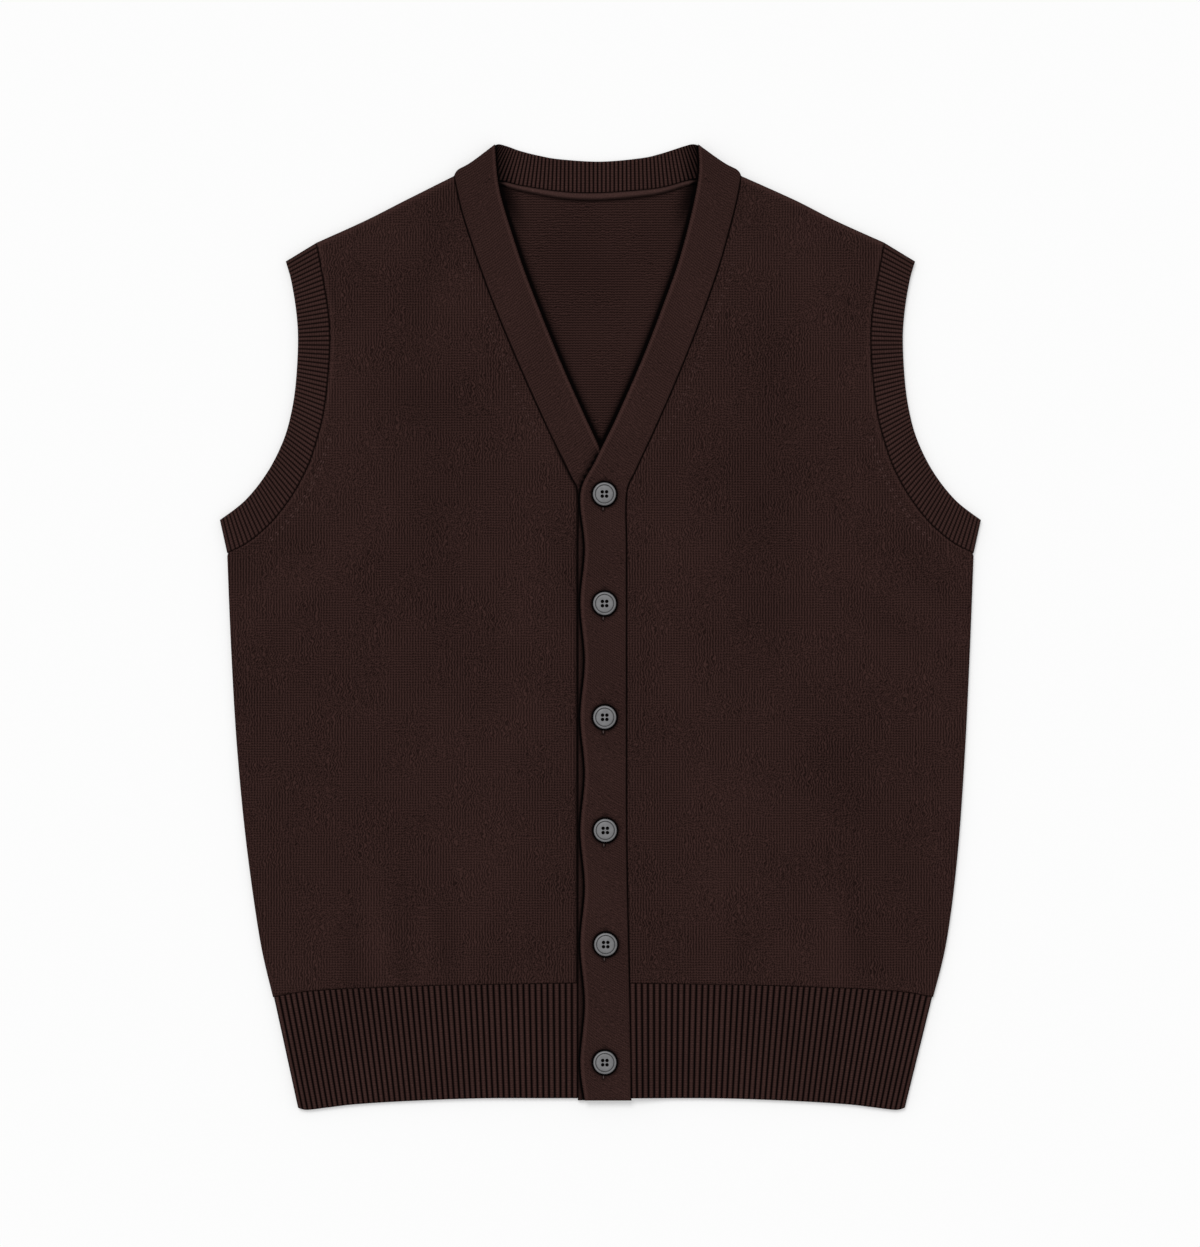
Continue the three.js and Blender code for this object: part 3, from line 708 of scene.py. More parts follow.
def knit_material(name, stitch, contrast, wale=WALE, course=COURSE, swirl=1.0, tone=1.0, cloth=CLOTH):
    """`stitch` builds the relief of the stitches, 0 to 1, from the places across and along the wales.
    In patches the stitches stray into swirls, by `swirl`. The points' painted shade darkens it
    to near black, and under 0 their painted highlight lights it."""
    shader = Shader(name)
    across, along, painted_shading = shader.knit_place()
    place = shader.vector(across, along)
    patches = shader.noise(place, PATCH_SCALE, gain=6.0)
    drift = shader.math("SUBTRACT", shader.noise(place, STRAY_SCALE, detail=1.0), 0.5)
    stray = shader.math("MULTIPLY_ADD", patches, STRAY_IN_PATCH * swirl, STRAY * swirl)
    moved = shader.math("MULTIPLY", drift, stray)
    across = shader.math("ADD", across, moved)
    along = shader.math("ADD", along, moved)
    relief = stitch(shader, across, along, wale, course)
    fibre_place = shader.vector(shader.math("MULTIPLY", across, FIBRE_STRETCH), along)
    fibres = shader.noise(fibre_place, FIBRE_SCALE, detail=3.0, roughness=0.7, gain=2.2)
    broad = shader.noise(place, BROAD_SCALE, gain=2.0)
    fleck_noise = shader.noise(place, FLECK_SCALE, detail=1.0)
    fleck = shader.math("MULTIPLY_ADD", fleck_noise, 10.0, -6.3, clamp=True)

    bright = shader.stretched(relief, contrast)
    for cloud, share in ((fibres, FIBRE_CONTRAST), (broad, BROAD_CONTRAST)):
        bright = shader.math("MULTIPLY_ADD", cloud, share, shader.math("SUBTRACT", bright, 0.5 * share))
    # Painted highlight on ridges, where the painted shade is under 0.
    painted_highlight_amount = shader.math("MULTIPLY", painted_shading, -PAINTED_HIGHLIGHT_STRENGTH, clamp=True)
    bright = shader.math("ADD", bright, painted_highlight_amount, clamp=True)
    bright = shader.math("MULTIPLY_ADD", fleck, FLECK_LIGHT, bright)
    dark, light = (tuple(share * tone * c for c in cloth) for share in (DARKEST, BRIGHTEST))
    colour = shader.blend(bright, dark, light)
    # Painted shade: the colour blends towards near black by the points' painted shade.
    painted_shade_share = shader.math("MULTIPLY", painted_shading, 1.0, clamp=True)
    colour = shader.blend(painted_shade_share, colour, PAINTED_SHADE_COLOUR)
    shader.bump(shader.math("MULTIPLY_ADD", fibres, 0.4, relief), 0.5, 0.0005)
    return shader.finish(colour, 0.95, specular=0.02)


def plain_stitch(shader, across, along, wale, course):
    """Fine lines along the wales, with the slant of the legs in them, which in places turn square."""
    lines = shader.math("POWER", wave(shader, across, wale), 1.6)
    slant = shader.math("MULTIPLY", lines, 0.25)
    rows = shader.math("POWER", wave(shader, along, course, slant), 1.6)
    square = shader.noise(shader.vector(across, along), SQUARE_SCALE, gain=5.0)
    share = shader.math("MULTIPLY_ADD", square, 0.5, 0.1)
    kept = shader.math("SUBTRACT", 1.0, share)
    both = shader.math("MULTIPLY_ADD", rows, share, shader.math("MULTIPLY", lines, kept))
    return shader.math("ADD", both, 0.08)


def purl_stitch(shader, across, along, wale, course):
    """Rows of small loops, the wrong side of plain stitch."""
    bend = shader.math("MULTIPLY", wave(shader, across, wale), 0.2)
    loops = wave(shader, across, wale, 0.5)
    return shader.math("MULTIPLY_ADD", loops, 0.15, wave(shader, along, course, bend))


def band_stitch(shader, across, along, wale, course):
    """Close, flat double knit, with its courses as fine lines across the band."""
    rows = wave(shader, along, course)
    lines = shader.math("MULTIPLY", wave(shader, across, wale), 0.3)
    return shader.math("MULTIPLY_ADD", rows, 0.7, lines)


def courses(rise, base):
    """A stitch of fine courses only, as over a rib or along a tape."""

    def stitch(shader, across, along, wale, course):
        return shader.math("MULTIPLY_ADD", wave(shader, along, course), rise, base)

    return stitch


def horn_material(name, dark, light):
    """Satin grey horn: a faint cloudiness in the colour and a fine grain in the face."""
    shader = Shader(name)
    clouds = shader.noise(shader.object_place(), 260.0, detail=3.0, roughness=0.6, gain=2.0)
    shader.bump(shader.noise(shader.object_place(), 1800.0), 0.08, 0.0003)
    return shader.finish(shader.blend(clouds, dark, light), 0.42, specular=0.35)


def thread_material(name, dark, light):
    shader = Shader(name)
    strands = shader.noise(shader.object_place(), 1800.0, detail=3.0)
    shader.bump(strands, 0.3, 0.0002)
    return shader.finish(shader.blend(strands, dark, light), 0.9, specular=0.05)


MATERIALS = {
    "plain": knit_material("plain_knit", plain_stitch, 0.9),
    "purl": knit_material("purl_side", purl_stitch, 0.85, swirl=0.4, tone=0.83),
    "rib": knit_material("rib_knit", courses(0.5, 0.35), 0.6, course=1.7, swirl=0.2, tone=1.38),
    "band": knit_material("band_knit", band_stitch, 0.62, wale=1.6, course=1.8, swirl=0.9, tone=1.06),
    "tape": knit_material("tape_knit", courses(0.3, 0.4), 0.4, course=1.2, swirl=0.1, cloth=TAPE),
    "horn": horn_material("button_horn", (0.128, 0.128, 0.132), (0.176, 0.176, 0.180)),
    # The same horn made darker, as painted shade in the buttons' groove and on their rim.
    "horn_groove": horn_material("button_groove_and_rim_shade", (0.040, 0.040, 0.042), (0.062, 0.062, 0.064)),
    # The thread below the buttons is real, but made near black as painted shade in the buttons' holes.
    "thread": thread_material("sewing_thread_dark_as_hole_shade", (0.0010, 0.0007, 0.0007), (0.0060, 0.0036, 0.0030)),
    # The raised loops are the cloth's own yarn, coloured lighter than the cloth as painted highlight on
    # them.
    "loops": thread_material("raised_loops_painted_highlight", (0.030, 0.015, 0.0135), (0.080, 0.042, 0.038)),
    "bar": thread_material("buttonhole_bar", (0.045, 0.030, 0.028), (0.110, 0.084, 0.080)),
}


def dress(piece, materials):
    """The first material goes on the outer face and the last on the underside."""
    for material in materials.split():
        piece.data.materials.append(MATERIALS[material])
    return piece


# Front bands


def placket_heights():
    """Heights of the bands' rows below the V: at the buttons, halfway between them and at the end."""
    heights = []
    for high, low in zip(BUTTON_HEIGHTS[:0:-1], BUTTON_HEIGHTS[-2::-1]):
        heights += [high, (high + low) / 2]
    return [*heights, BUTTON_HEIGHTS[0], BAND_END]


def right_placket_seam(y):
    slant = smoothstep(y, 0, RIGHT_PLACKET_SLANT_TO)
    return RIGHT_PLACKET_SEAM_AT_HEM + (RIGHT_PLACKET_SEAM_AT_V - RIGHT_PLACKET_SEAM_AT_HEM) * slant


LEFT_BAND = LEFT_BAND_V + [(-LAP_SEAM, y, PLACKET_WIDTH - LAP_SEAM, y) for y in placket_heights()]
RIGHT_BAND = RIGHT_BAND_V + [
    (float(right_placket_seam(y)), y, FREE_EDGE_BETWEEN if k % 2 else FREE_EDGE_AT_BUTTON, y)
    for k, y in enumerate(placket_heights())
]


def band_seam(table):
    return [(row[0], row[1]) for row in table]


def band_edge(table):
    return [(row[2], row[3]) for row in table]


def close_to_buttons(y):
    """The step of the right band's points, finest where the shadow round a button falls."""
    away = np.min([np.abs(y - height) for height in BUTTON_HEIGHTS], axis=0)
    wider = BAND_STEP_BETWEEN - BAND_STEP_AT_BUTTON
    return BAND_STEP_AT_BUTTON + wider * smoothstep(away, *BAND_STEP_EASE)


def even_step(y):
    return np.full_like(y, BAND_STEP)


def from_bands(x, y):
    """From each place to the nearer free edge of the two bands in the V."""
    left, right = (distance_to(band_edge(table), x, y) for table in (LEFT_BAND_V, RIGHT_BAND_V))
    return np.minimum(left, right)


def button_shade(x, y):
    """The shadow round each button, at the end of its hole above it and beside the bar below it."""
    shade = np.zeros_like(x)
    for bx, by in BUTTON_PLACES:
        away = np.hypot(x - bx, y - by)
        ring = shadow("button", away) + shadow("near button", away)
        bar = shadow("bar", np.hypot(x - bx - BAR_AT[0], (y - by - BAR_AT[1]) / 1.5))
        hole_end = shadow("hole end", np.hypot(x - bx, y - by - HOLE_END_AT))
        shade = deepest(shade, ring, bar, hole_end)
    return shade


def strip_shade(x, y):
    """The left band's strip beside the placket, which lies in the shadow of the right band's edge."""
    edge = band_edge(RIGHT_BAND)[len(RIGHT_BAND_V) - 2 :]
    away = distance_to(edge, x, y)
    return shadow("lap", away) + shadow("near lap", away)


def front_band(name, table, lift, step, shade):
    """u runs down the band and v from its seam to its free edge."""
    seam, edge = line_by_rows(band_seam(table)), line_by_rows(band_edge(table))
    plain = between(seam, edge)
    sections = len(table) - 1

    def place(u, v):
        out = v / FOLD_SWELL_SHARE
        fading = np.maximum(0, 1 - u * sections / FOLD_SWELL_REACH)
        swell = FOLD_SWELL * out * np.exp(1 - out) * fading
        return plain(u, v) + np.stack([np.zeros_like(u), swell], -1)

    ends = 0.004 * rising(5)
    columns = np.union1d(graded(seam, step), np.concatenate([ends, 1 - ends]))
    grid = Grid(place, columns, with_lips(32, 0.07, 7))
    rest = FRONT_REST + lift(grid.y)
    roll = ridge(RIDGES["band's free edge"], grid.from_v1)
    ease = ridge(RIDGES["band at seam"], grid.along_v)
    relief = roll + ease + 0.6 * unevenness(1.7 * grid.x, 1.3 * grid.y)
    # Painted shadow along the seam, with the shadows that `shade` paints.
    shade = deepest(shadow("band seam", grid.along_v), shade(grid.x, grid.y))
    # Painted highlight along the fold of the free edge.
    light = ridge(PAINTED_HIGHLIGHTS["band's free edge"], grid.from_v1)
    knit = (grid.along_v, grid.along_u, shade - light)
    return shell(name, grid, rest, BAND_CLOTH, relief, (1.2, 1.2, 1.1, 1.6), knit)


# Panels


def inner_seam(side, table, low):
    """The seam of a front and its band from the shoulder down to `low`, x counting outward."""
    seam = [(side * x + SEAM_GAP, y) for x, y in band_seam(table)]
    above = [p for p in seam if p[1] > low + 1]
    after = seam[len(above)]
    last = above[-1]
    share = (last[1] - low) / (last[1] - after[1])
    return [*above, (last[0] + (after[0] - last[0]) * share, low)]


def lifted_share(grid):
    """A front lies as high as its band along their seam, and comes down from there."""
    return near(grid.from_u1, 0, LAP_RUNOUT)


side_start = (SIDE_SEAM[0][0], HEM_SEAM[0][1] + SEAM_GAP)
side_line = joined(
    (SIDE_SHARE, line([side_start, *SIDE_SEAM[1:]])),
    (1 - SIDE_SHARE, line(ARMHOLE_SEAM)),
)


def front_panel(name, side, table, lift):
    """u runs inward from the side, v upward from the hem rib. Gives the piece and its grid."""
    seam = inner_seam(side, table, CENTRE_HEM_SEAM + SEAM_GAP)
    below = next(k for k, p in enumerate(seam) if p[1] < ARMHOLE_SEAM[0][1])
    inner = joined(
        (SIDE_SHARE, reversed_line(line(seam[below:]))),
        (1 - SIDE_SHARE, reversed_line(line(seam[: below + 1]))),
    )
    hem = line([*shifted(HEM_SEAM, SEAM_GAP), seam[-1]])
    shoulder = line([*SHOULDER[:-1], seam[0]])
    place = swayed(on_side(side, inside(hem, shoulder, side_line, inner)))
    grid = Grid(place, with_lips(84, 0.02, 7), with_lips(200, 0.008, 6))
    puff = PANEL_PUFF * np.sin(np.pi * grid.u) * np.sin(np.pi * grid.v)
    rest = FRONT_REST + puff + lift(grid.y) * lifted_share(grid)
    beside_armhole = smoothstep(grid.v, SIDE_SHARE, SIDE_SHARE + 0.03)
    seam_ridge = ridge(RIDGES["front at armhole"], grid.along_u) * beside_armhole
    band_ridge = ridge(RIDGES["front at band"], grid.from_u1)
    side_fall = -SIDE_FALL * (1 - rounded(grid.along_u, SIDE_FALL_WIDTH)) * (1 - beside_armhole)
    creases = folds(FRONT_FOLDS, grid.x, grid.y)
    relief = seam_ridge + band_ridge + side_fall + creases + unevenness(grid.x, grid.y)
    # Painted shadows along the armhole, front and hem seams, and at the end of the left front's seam.
    seams = deepest(
        shadow("armhole seam", grid.along_u) * beside_armhole,
        shadow("front seam", grid.from_u1),
        shadow("hem seam of front", grid.along_v),
    )
    if side < 0:
        seams = deepest(seams, shadow("end of left seam", grid.from_u1) * near(grid.y, 470, 490))
    # Painted highlights beside the armhole seam and along the shoulder, and painted light and shade on
    # the creases by their height.
    lights = ridge(PAINTED_HIGHLIGHTS["front at armhole"], grid.along_u) * beside_armhole
    lights = lights + ridge(PAINTED_HIGHLIGHTS["shoulder"], grid.from_v1) + CREASE_PAINTED_LIGHTING * creases
    knit = (grid.x, grid.y, seams - lights)
    return shell(name, grid, rest, PANEL_CLOTH, relief, (1.4, 1.2, 1.0, 1.4), knit), grid


def back_panel(name):
    """u runs from the left side to the right one, v upward from the hem rib. The upper edge is the
    left shoulder, the neck and the right shoulder."""
    hem = shifted(HEM_SEAM, SEAM_GAP)
    low = line([*mirrored(hem), *hem[::-1]])
    neck = shifted(NECK_SEAM, -SEAM_GAP)
    shoulder = 0.1
    high = joined(
        (shoulder, line(mirrored(SHOULDER))),
        (1 - 2 * shoulder, line_across(neck, neck[0][0], neck[-1][0])),
        (shoulder, reversed_line(line([*SHOULDER[:-1], neck[-1]]))),
    )
    place = swayed(inside(low, high, lambda v: side_line(v) * (-1, 1), side_line))
    outer = with_lips(20, 0.2) * shoulder
    middle = shoulder + (1 - 2 * shoulder) * even(112)[1:-1]
    columns = np.concatenate([outer, middle, 1 - shoulder + outer])
    grid = Grid(place, columns, np.union1d(graded(side_line, back_step), with_lips(4, 0.008)))
    inside_edges = smoothstep(grid.along_u, 0, 30) * smoothstep(grid.from_u1, 0, 30)
    hollows = folds(BACK_FOLDS, grid.x, grid.y) * inside_edges
    knit = (grid.x, grid.y, neck_shade(grid.x, grid.y))
    return shell(name, grid, 0.0, PANEL_CLOTH, 0.0, (1.2, 1.2, 1.0, 1.0), knit, 0.0, hollows)


def back_step(y):
    """Points lie closest where the back shows in the V."""
    return BACK_STEP - (BACK_STEP - BACK_STEP_IN_V) * smoothstep(y, *BACK_STEP_EASE)


def tape_width(x):
    share = np.clip((x - TAPE_ENDS[0]) / (TAPE_ENDS[1] - TAPE_ENDS[0]), 0, 1)
    return TAPE_END_WIDTH + (TAPE_WIDTH - TAPE_END_WIDTH) * np.sin(np.pi * share)


def neck_shade(x, y):
    """The shadow on the back along the bands' free edges, in both corners and under the tape."""
    away = from_bands(x, y)
    shade = shadow("back at band", away) + shadow("back near band", away)
    corner = shadow("neck corner", away) * smoothstep(y, 625, 655)
    neck = traced(NECK_SEAM)
    below_tape = np.interp(x, neck[:, 0], neck[:, 1]) - tape_width(x) - y
    return deepest(shade, corner, shadow("back below tape", np.abs(below_tape)))


# Ribbed pieces


def ribbed(u, count, rule):
    """The height of the ribs, 1 on each broad crest and 0 in the narrow grooves, and the painted
    shade in the grooves."""
    groove = np.abs(np.cos(np.pi * count * u)) ** GROOVE_NARROWNESS
    depth, sharpness = rule
    return 1 - groove, depth * groove**sharpness


def rib_count(low, high, pitch):
    return round((line_length(low) + line_length(high)) / 2 / pitch)


def front_hem(name, side, table, lift):
    """Its inner end lies at the seam of the front band."""
    low_end, high_end = (inner_seam(side, table, y)[-1] for y in (CENTRE_HEM_EDGE, CENTRE_HEM_SEAM))
    low = crowded(line([*HEM_EDGE, low_end]), HEM_RIB_CROWDING_AT_EDGE)
    high = crowded(line([*HEM_SEAM, high_end]), HEM_RIB_CROWDING_AT_SEAM)
    count = rib_count(low, high, HEM_RIB_PITCH)
    place = swayed(on_side(side, between(low, high)))
    grid = Grid(place, even(count * 10), with_lips(12, 0.045, 6))
    ribs, grooves = ribbed(grid.u, count, HEM_GROOVE_SHADE)
    relief = RIB_RISE * ribs + 0.4 * unevenness(grid.x, grid.y)
    rest = FRONT_REST + lift(grid.y) * lifted_share(grid)
    seam = shadow("hem seam of rib", grid.from_v1)
    knit = (grid.x, grid.along_v, deepest(grooves, seam, shadow("front seam", grid.from_u1)))
    return shell(name, grid, rest, RIB_CLOTH, relief, (2.0, 1.0, 2.2, 1.2), knit)


def back_hem(name):
    low = line([*mirrored(HEM_EDGE), *HEM_EDGE[::-1]])
    high = line([*mirrored(HEM_SEAM), *HEM_SEAM[::-1]])
    count = rib_count(low, high, HEM_RIB_PITCH)
    grid = Grid(swayed(between(low, high)), even(count * 8), with_lips(8, 0.03))
    ribs, grooves = ribbed(grid.u, count, HEM_GROOVE_SHADE)
    knit = (grid.x, grid.along_v, 0.0)
    hollows = RIB_RISE_BELOW * (1 - ribs)
    return shell(name, grid, 0.0, PANEL_CLOTH, 0.0, (1.4, 1.4, 1.6, 1.0), knit, grooves, hollows)


def armhole_band(name, side, layer):
    """u runs up from the side seam and v out from the panel. The back one has its ribs below."""
    low = beside(line(ARMHOLE_SEAM), SEAM_GAP)
    high = line(ARMHOLE_EDGE)
    count = rib_count(low, high, ARMHOLE_RIB_PITCH)
    grid = Grid(on_side(side, between(low, high)), even(count * 8), with_lips(7, 0.1))
    ribs, grooves = ribbed(grid.u, count, ARMHOLE_GROOVE_SHADE)
    # Painted shade in the grooves less a painted highlight on the crests, with painted shadows at the
    # seam and the ends.
    ends = shadow("rib end", np.minimum(grid.along_u, grid.from_u1))
    shade = deepest(grooves - ARMHOLE_CREST_PAINTED_HIGHLIGHT, shadow("rib seam", grid.along_v), ends)
    radii = (1.4, 1.4, 1.1, 1.5)
    place = (grid.along_u, grid.along_v)
    if layer == "back":
        hollows = RIB_RISE_BELOW * (1 - ribs)
        return shell(name, grid, 0.0, PANEL_CLOTH, 0.0, radii, (*place, 0.0), shade, hollows)
    return shell(name, grid, FRONT_REST, RIB_CLOTH, RIB_RISE * ribs, radii, (*place, shade))


def neckband(name):
    """Its ribs lean inward, more so towards both ends."""
    first, last = NECKBAND_ENDS

    def leaning(x):
        return x * (1 - NECK_LEAN_SHARE * (x / NECK_LEAN_AT) ** 2)

    low = line_across(shifted(NECK_SEAM, SEAM_GAP / 2), first, last)
    high = line_across(NECK_FREE_EDGE, first, last, leaning)
    count = round((last - first) / NECK_RIB_PITCH)
    grid = Grid(between(low, high), even(count * 10), with_lips(8, 0.07))
    ribs, grooves = ribbed(grid.u, count, NECK_GROOVE_SHADE)
    away = from_bands(grid.x, grid.y)
    shade = deepest(grooves, shadow("neck seam", grid.along_v), shadow("neck at band", away))
    shade = shade + shadow("neck near band", away)
    knit = (grid.x, grid.y, shade)
    hollows = RIB_RISE_BELOW * (1 - ribs)
    radii = (1.0, 1.0, 0.8, 1.3)
    return shell(name, grid, 0.0, RIB_CLOTH, RIB_RISE * ribs, radii, knit, grooves, hollows)


def seam_tape(name):
    high = line_across(shifted(NECK_SEAM, -SEAM_GAP), *TAPE_ENDS)

    def low(t):
        along = high(t)
        return along - np.stack([np.zeros_like(along[..., 0]), tape_width(along[..., 0])], -1)

    grid = Grid(between(low, high), even(160), with_lips(8, 0.16, 4))
    relief = TAPE_CROWN * np.sin(np.pi * grid.v)
    edges = shadow("tape's upper edge", grid.from_v1) + shadow("tape's lower edge", grid.along_v)
    shade = shadow("tape at band", from_bands(grid.x, grid.y)) + edges
    knit = (grid.x, grid.y, shade)
    return shell(name, grid, PANEL_CLOTH + GAP, TAPE_CLOTH, relief, (1, 1, 1.1, 0.9), knit)


# Raised stitches of the shaping


def raised_stitches(name, grid, places):
    """A pair of small loops at each of `places`, (x, y, angle, size), half sunk into the panel."""
    points, faces = [], []
    loop, sides = turned(arc((0, 0), 1, -90, 90, 7), 8)
    half_width, half_length, half_height = SHAPING_LOOP
    for x, y, angle, size in places:
        nearest = np.unravel_index(np.argmin(np.hypot(grid.x - x, grid.y - y)), grid.x.shape)
        cos, sin = math.cos(angle), math.sin(angle)
        for off in (-SHAPING_LOOP_OFF, SHAPING_LOOP_OFF):
            first = len(points)
            for a, b, c in loop:
                across = off + half_width * size * a
                along = half_length * size * b
                px = x + across * cos - along * sin
                py = y + across * sin + along * cos
                pz = grid.over[nearest] + half_height * size * c
                points.append((px * MM, (py - LENGTH / 2) * MM, pz * MM))
            faces += [tuple(first + k for k in face) for face in sides]
    return dress(riding(name, smooth_mesh(name, points, faces)), "loops")


def shaping_places(seam, side, rule):
    """Places `rule` far in from the seam, with the angle square to it."""
    distance, lowest, highest, step, size = rule
    inner = beside(line(seam), -distance)
    shares = graded(inner, lambda y: np.full_like(y, step))
    places = []
    for (x, y), (nx, ny) in zip(inner(shares), inner(np.minimum(shares + 1e-3, 1))):
        if lowest < y < highest:
            places.append((side * x, y, -math.atan2(side * (nx - x), ny - y), size))
    return places


# Buttons


def cylinder(radius, low, high, segments):
    profile = [(0, low), (radius, low), (radius, high), (0, high)]
    points, faces = turned([(r * MM, z * MM) for r, z in profile], segments)
    mesh = bpy.data.meshes.new("cylinder")
    mesh.from_pydata(points, [], faces)
    return mesh


def button_mesh():
    """A disc with a rounded rim, a turned groove inside it, a shallow dish and four holes."""
    top = BUTTON_THICKNESS
    edge = BUTTON_RADIUS
    profile = [(0, 0), (edge - 2.2, 0)]
    profile += arc((edge - 1.3, 1.3), 1.3, -90, 0, 7)
    profile += arc((edge - 1.15, top - 1.15), 1.15, 0, 100, 10)
    profile += [(6.95, top - 0.25), (6.8, top - 0.72), (6.55, top - 0.95), (6.3, top - 0.9)]
    profile += [(6.1, top - 0.6), (5.7, top - 0.5), (4.2, top - 0.5), (2.2, top - 0.58), (0, top - 0.6)]
    points, faces = turned([(r * MM, z * MM) for r, z in profile], 72)
    mesh = bpy.data.meshes.new("button_disc")
    mesh.from_pydata(points, [], faces)
    disc = placed("button_disc", mesh)
    drill = cylinder(BUTTON_HOLE_RADIUS, -2, 6, 20)
    off = BUTTON_HOLE_SPACING / 2 * MM
    cutters = []
    for x, y in ((-off, -off), (-off, off), (off, -off), (off, off)):
        cutter = placed("button_drill", drill)
        cutter.location = (x, y, 0)
        cut = disc.modifiers.new("hole", "BOOLEAN")
        cut.operation = "DIFFERENCE"
        cut.solver = "EXACT"
        cut.object = cutter
        cutters.append(cutter)
    bpy.context.view_layer.update()
    made = bpy.data.meshes.new_from_object(disc.evaluated_get(bpy.context.evaluated_depsgraph_get()))
    for used in [disc, *cutters]:
        bpy.data.objects.remove(used)
    made.polygons.foreach_set("use_smooth", np.ones(len(made.polygons), bool))
    # The turned groove and the outermost rim get the darker horn, as painted shade.
    for face in made.polygons:
        out = math.hypot(face.center.x, face.center.y) / MM
        dark = BUTTON_SHADED_GROOVE[0] < out < BUTTON_SHADED_GROOVE[1] or out > edge - BUTTON_SHADED_RIM
        face.material_index = int(dark)
    made.set_sharp_from_angle(angle=math.radians(50))
    return made


def solid_piece(name, mesh, location, materials):
    """An own copy of the mesh, moved into place, riding on the root body."""
    own = mesh.copy()
    own.name = name
    own.transform(Matrix.Translation(Vector(location) * MM))
    return dress(riding(name, own), materials)


def ellipsoid(sizes, rings=8, segments=12):
    """A mesh `sizes` wide, long and high, half of it standing above z = 0."""
    points, faces = turned(arc((0, 0), 1, -90, 90, rings + 1), segments)
    scaled = [tuple(c * size / 2 * MM for c, size in zip(point, sizes)) for point in points]
    return smooth_mesh("ellipsoid", scaled, faces)


# The vest

SIDES = (("left", -1, LEFT_BAND, neck_lift), ("right", 1, RIGHT_BAND, right_lift))

# The cloth by the start of a node's name: materials, slot, flat size in metres and area where the
# piece isn't a strip.
CUTS = {
    "back_panel": ("purl plain", "knit", (0.538, 0.591), 0.2815),
    "front_panel": ("plain purl", "knit", (0.253, 0.581), 0.1165),
    "hem_rib_back": ("purl rib", "rib_knit", (0.455, 0.085), None),
    "hem_rib_front": ("rib rib", "rib_knit", (0.211, 0.084), None),
    "armhole_band": ("rib rib", "rib_knit", (0.235, 0.024), None),
    "front_band": ("band band", "band_knit", (0.78, 0.031), None),
    "neckband_back": ("rib rib", "rib_knit", (0.19, 0.0245), None),
}


def cloth_piece(piece, node):
    materials, slot, flat, area = next(cut for start, cut in CUTS.items() if node.startswith(start))
    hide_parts(node)
    dress(piece, materials)


tape = seam_tape("back_neck_tape")
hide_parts("neck_seam_tape")
dress(tape, "tape tape")

cloth_piece(back_panel("back"), "back_panel")
for label, side, table, lift in SIDES:
    piece, grid = front_panel(f"front_{label}", side, table, lift)
    v_seam = [(side * x, y) for x, y in band_seam(table)]
    places = shaping_places(ARMHOLE_SEAM, side, SHAPING_AT_ARMHOLE)
    places += shaping_places(v_seam, side, SHAPING_AT_V)
    marks = raised_stitches(f"front_{label}_shaping", grid, places)
    cloth_piece(piece, f"front_panel_{label}")
cloth_piece(back_hem("hem_back"), "hem_rib_back")
for label, side, table, lift in SIDES:
    piece = front_hem(f"hem_front_{label}", side, table, lift)
    cloth_piece(piece, f"hem_rib_front_{label}")
for label, side, *_ in SIDES:
    for layer, rests_on in (("back", "floor"), ("front", f"armhole_{label}_back")):
        piece = armhole_band(f"armhole_{label}_{layer}", side, layer)
        cloth_piece(piece, f"armhole_band_{label}_{layer}")
under = front_band("front_band_under", LEFT_BAND, neck_lift, even_step, strip_shade)
cloth_piece(under, "front_band_left")
over = front_band("front_band_over", RIGHT_BAND, right_lift, close_to_buttons, button_shade)
cloth_piece(over, "front_band_right")
cloth_piece(neckband("neck_rib"), "neckband_back")

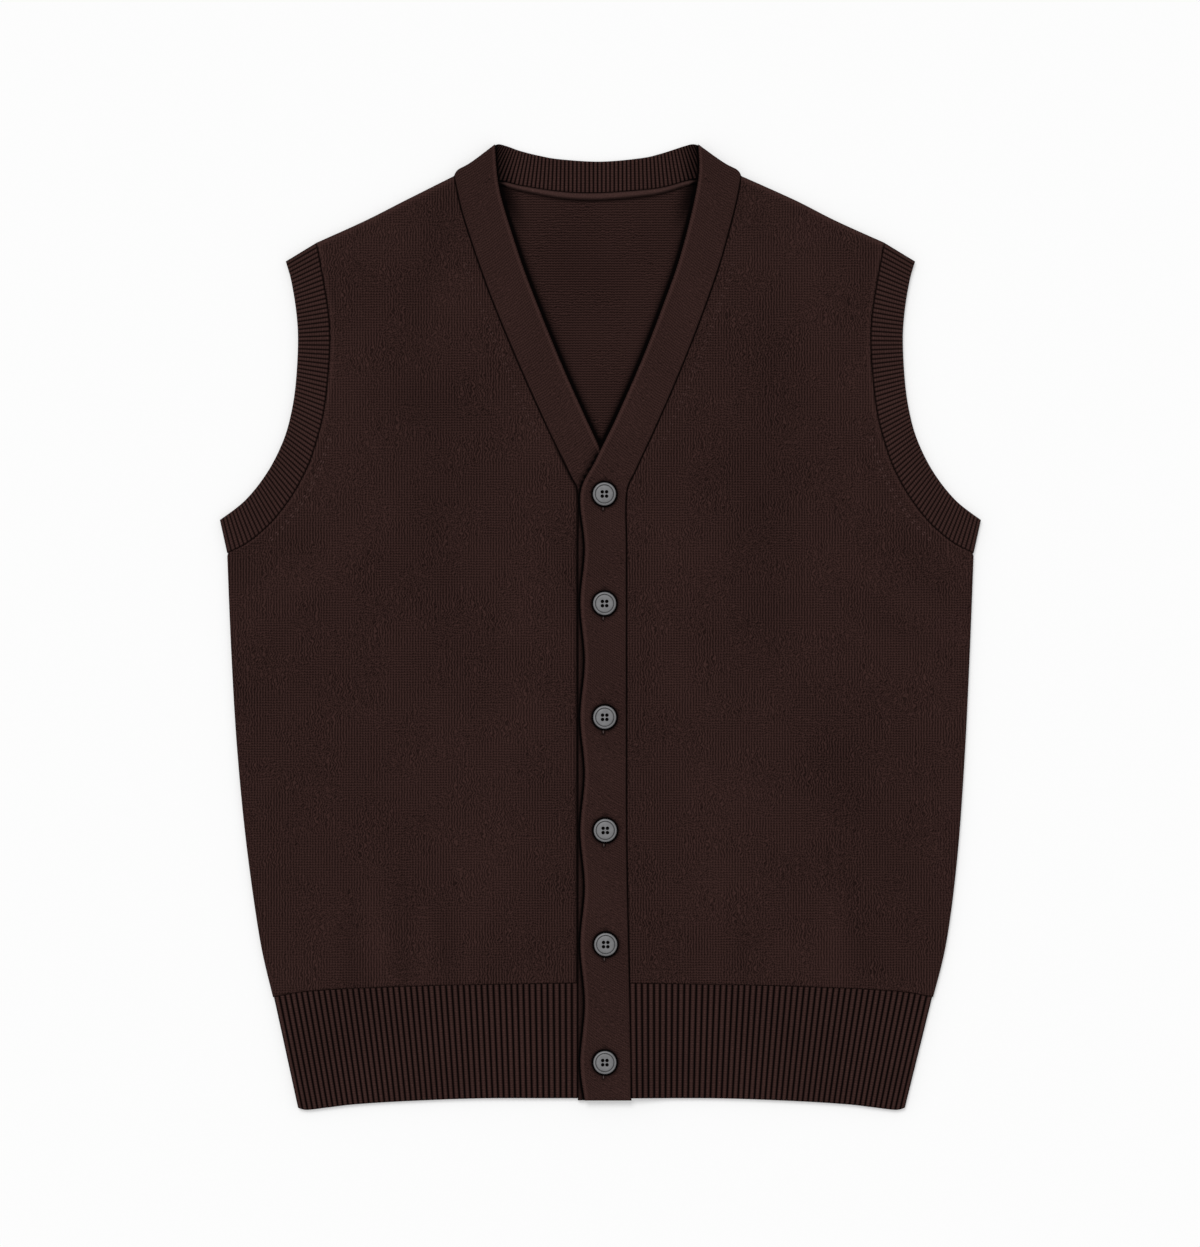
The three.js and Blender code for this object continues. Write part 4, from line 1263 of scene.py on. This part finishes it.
disc = button_mesh()
thread = cylinder(THREAD_RADIUS, 0, THREAD_HEIGHT, 24)
bar = ellipsoid(BAR_SIZE)
for k, (bx, by) in enumerate(BUTTON_PLACES, 1):
    y = by - LENGTH / 2
    button = solid_piece(f"button_{k}_disc", disc, (bx, y, BUTTON_REST), "horn horn_groove")
    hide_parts(f"button_{k}")
    solid_piece(f"button_{k}_thread", thread, (bx, y, BUTTON_REST - 0.1), "thread")
    bar_at = (bx + BAR_AT[0], y + BAR_AT[1], BUTTON_REST - GAP)
    solid_piece(f"buttonhole_{k}_bar", bar, bar_at, "bar")

# Floor, light and camera

FLOOR_HALF = 4.0
FLOOR_ALBEDO = 0.60
FLOOR_GLOW = 0.34  # as of a light table, so that the shadows on it stay light
WORLD_LIGHT = 0.6
SUN_STRENGTH = 1.70
SUN_ANGLE = 30
SUN_DIRECTION = (0.2, -0.5, -0.9)
PHOTO_HEIGHT = 1247
MM_PER_PIXEL = 0.72
CAMERA_DISTANCE = 6.0  # from the fronts' face, where the picture has its scale
FACE_HEIGHT = 0.004
CAMERA_AT = (-0.3, 2.5)

floor_mesh = bpy.data.meshes.new("floor")
corners = [(FLOOR_HALF * x, FLOOR_HALF * y, 0) for x, y in ((-1, -1), (1, -1), (1, 1), (-1, 1))]
floor_mesh.from_pydata(corners, [], [(0, 1, 2, 3)])
floor_shader = Shader("floor")
floor_shader.fill(floor_shader.surface, Emission_Color=(1, 1, 1, 1), Emission_Strength=FLOOR_GLOW)
floor_mesh.materials.append(floor_shader.finish((*[FLOOR_ALBEDO] * 3, 1), 0.9, specular=0.0))
placed("floor", floor_mesh)

world = bpy.data.worlds.new("studio")
world.use_nodes = True
background = world.node_tree.nodes["Background"].inputs
background["Color"].default_value = (1, 1, 1, 1)
background["Strength"].default_value = WORLD_LIGHT
bpy.context.scene.world = world

sun = bpy.data.lights.new("soft_sun", "SUN")
sun.energy = SUN_STRENGTH
sun.angle = math.radians(SUN_ANGLE)
lamp = placed("soft_sun", sun)
lamp.rotation_euler = Vector(SUN_DIRECTION).to_track_quat("-Z", "Y").to_euler()

camera_data = bpy.data.cameras.new("camera")
camera_data.sensor_width = 36
camera_data.lens = camera_data.sensor_width * CAMERA_DISTANCE / (PHOTO_HEIGHT * MM_PER_PIXEL * MM)
camera_data.clip_end = 50
camera = placed("camera", camera_data)
camera.location = (CAMERA_AT[0] * MM, CAMERA_AT[1] * MM, CAMERA_DISTANCE + FACE_HEIGHT)
bpy.context.scene.camera = camera
bpy.context.scene.view_settings.view_transform = "Standard"
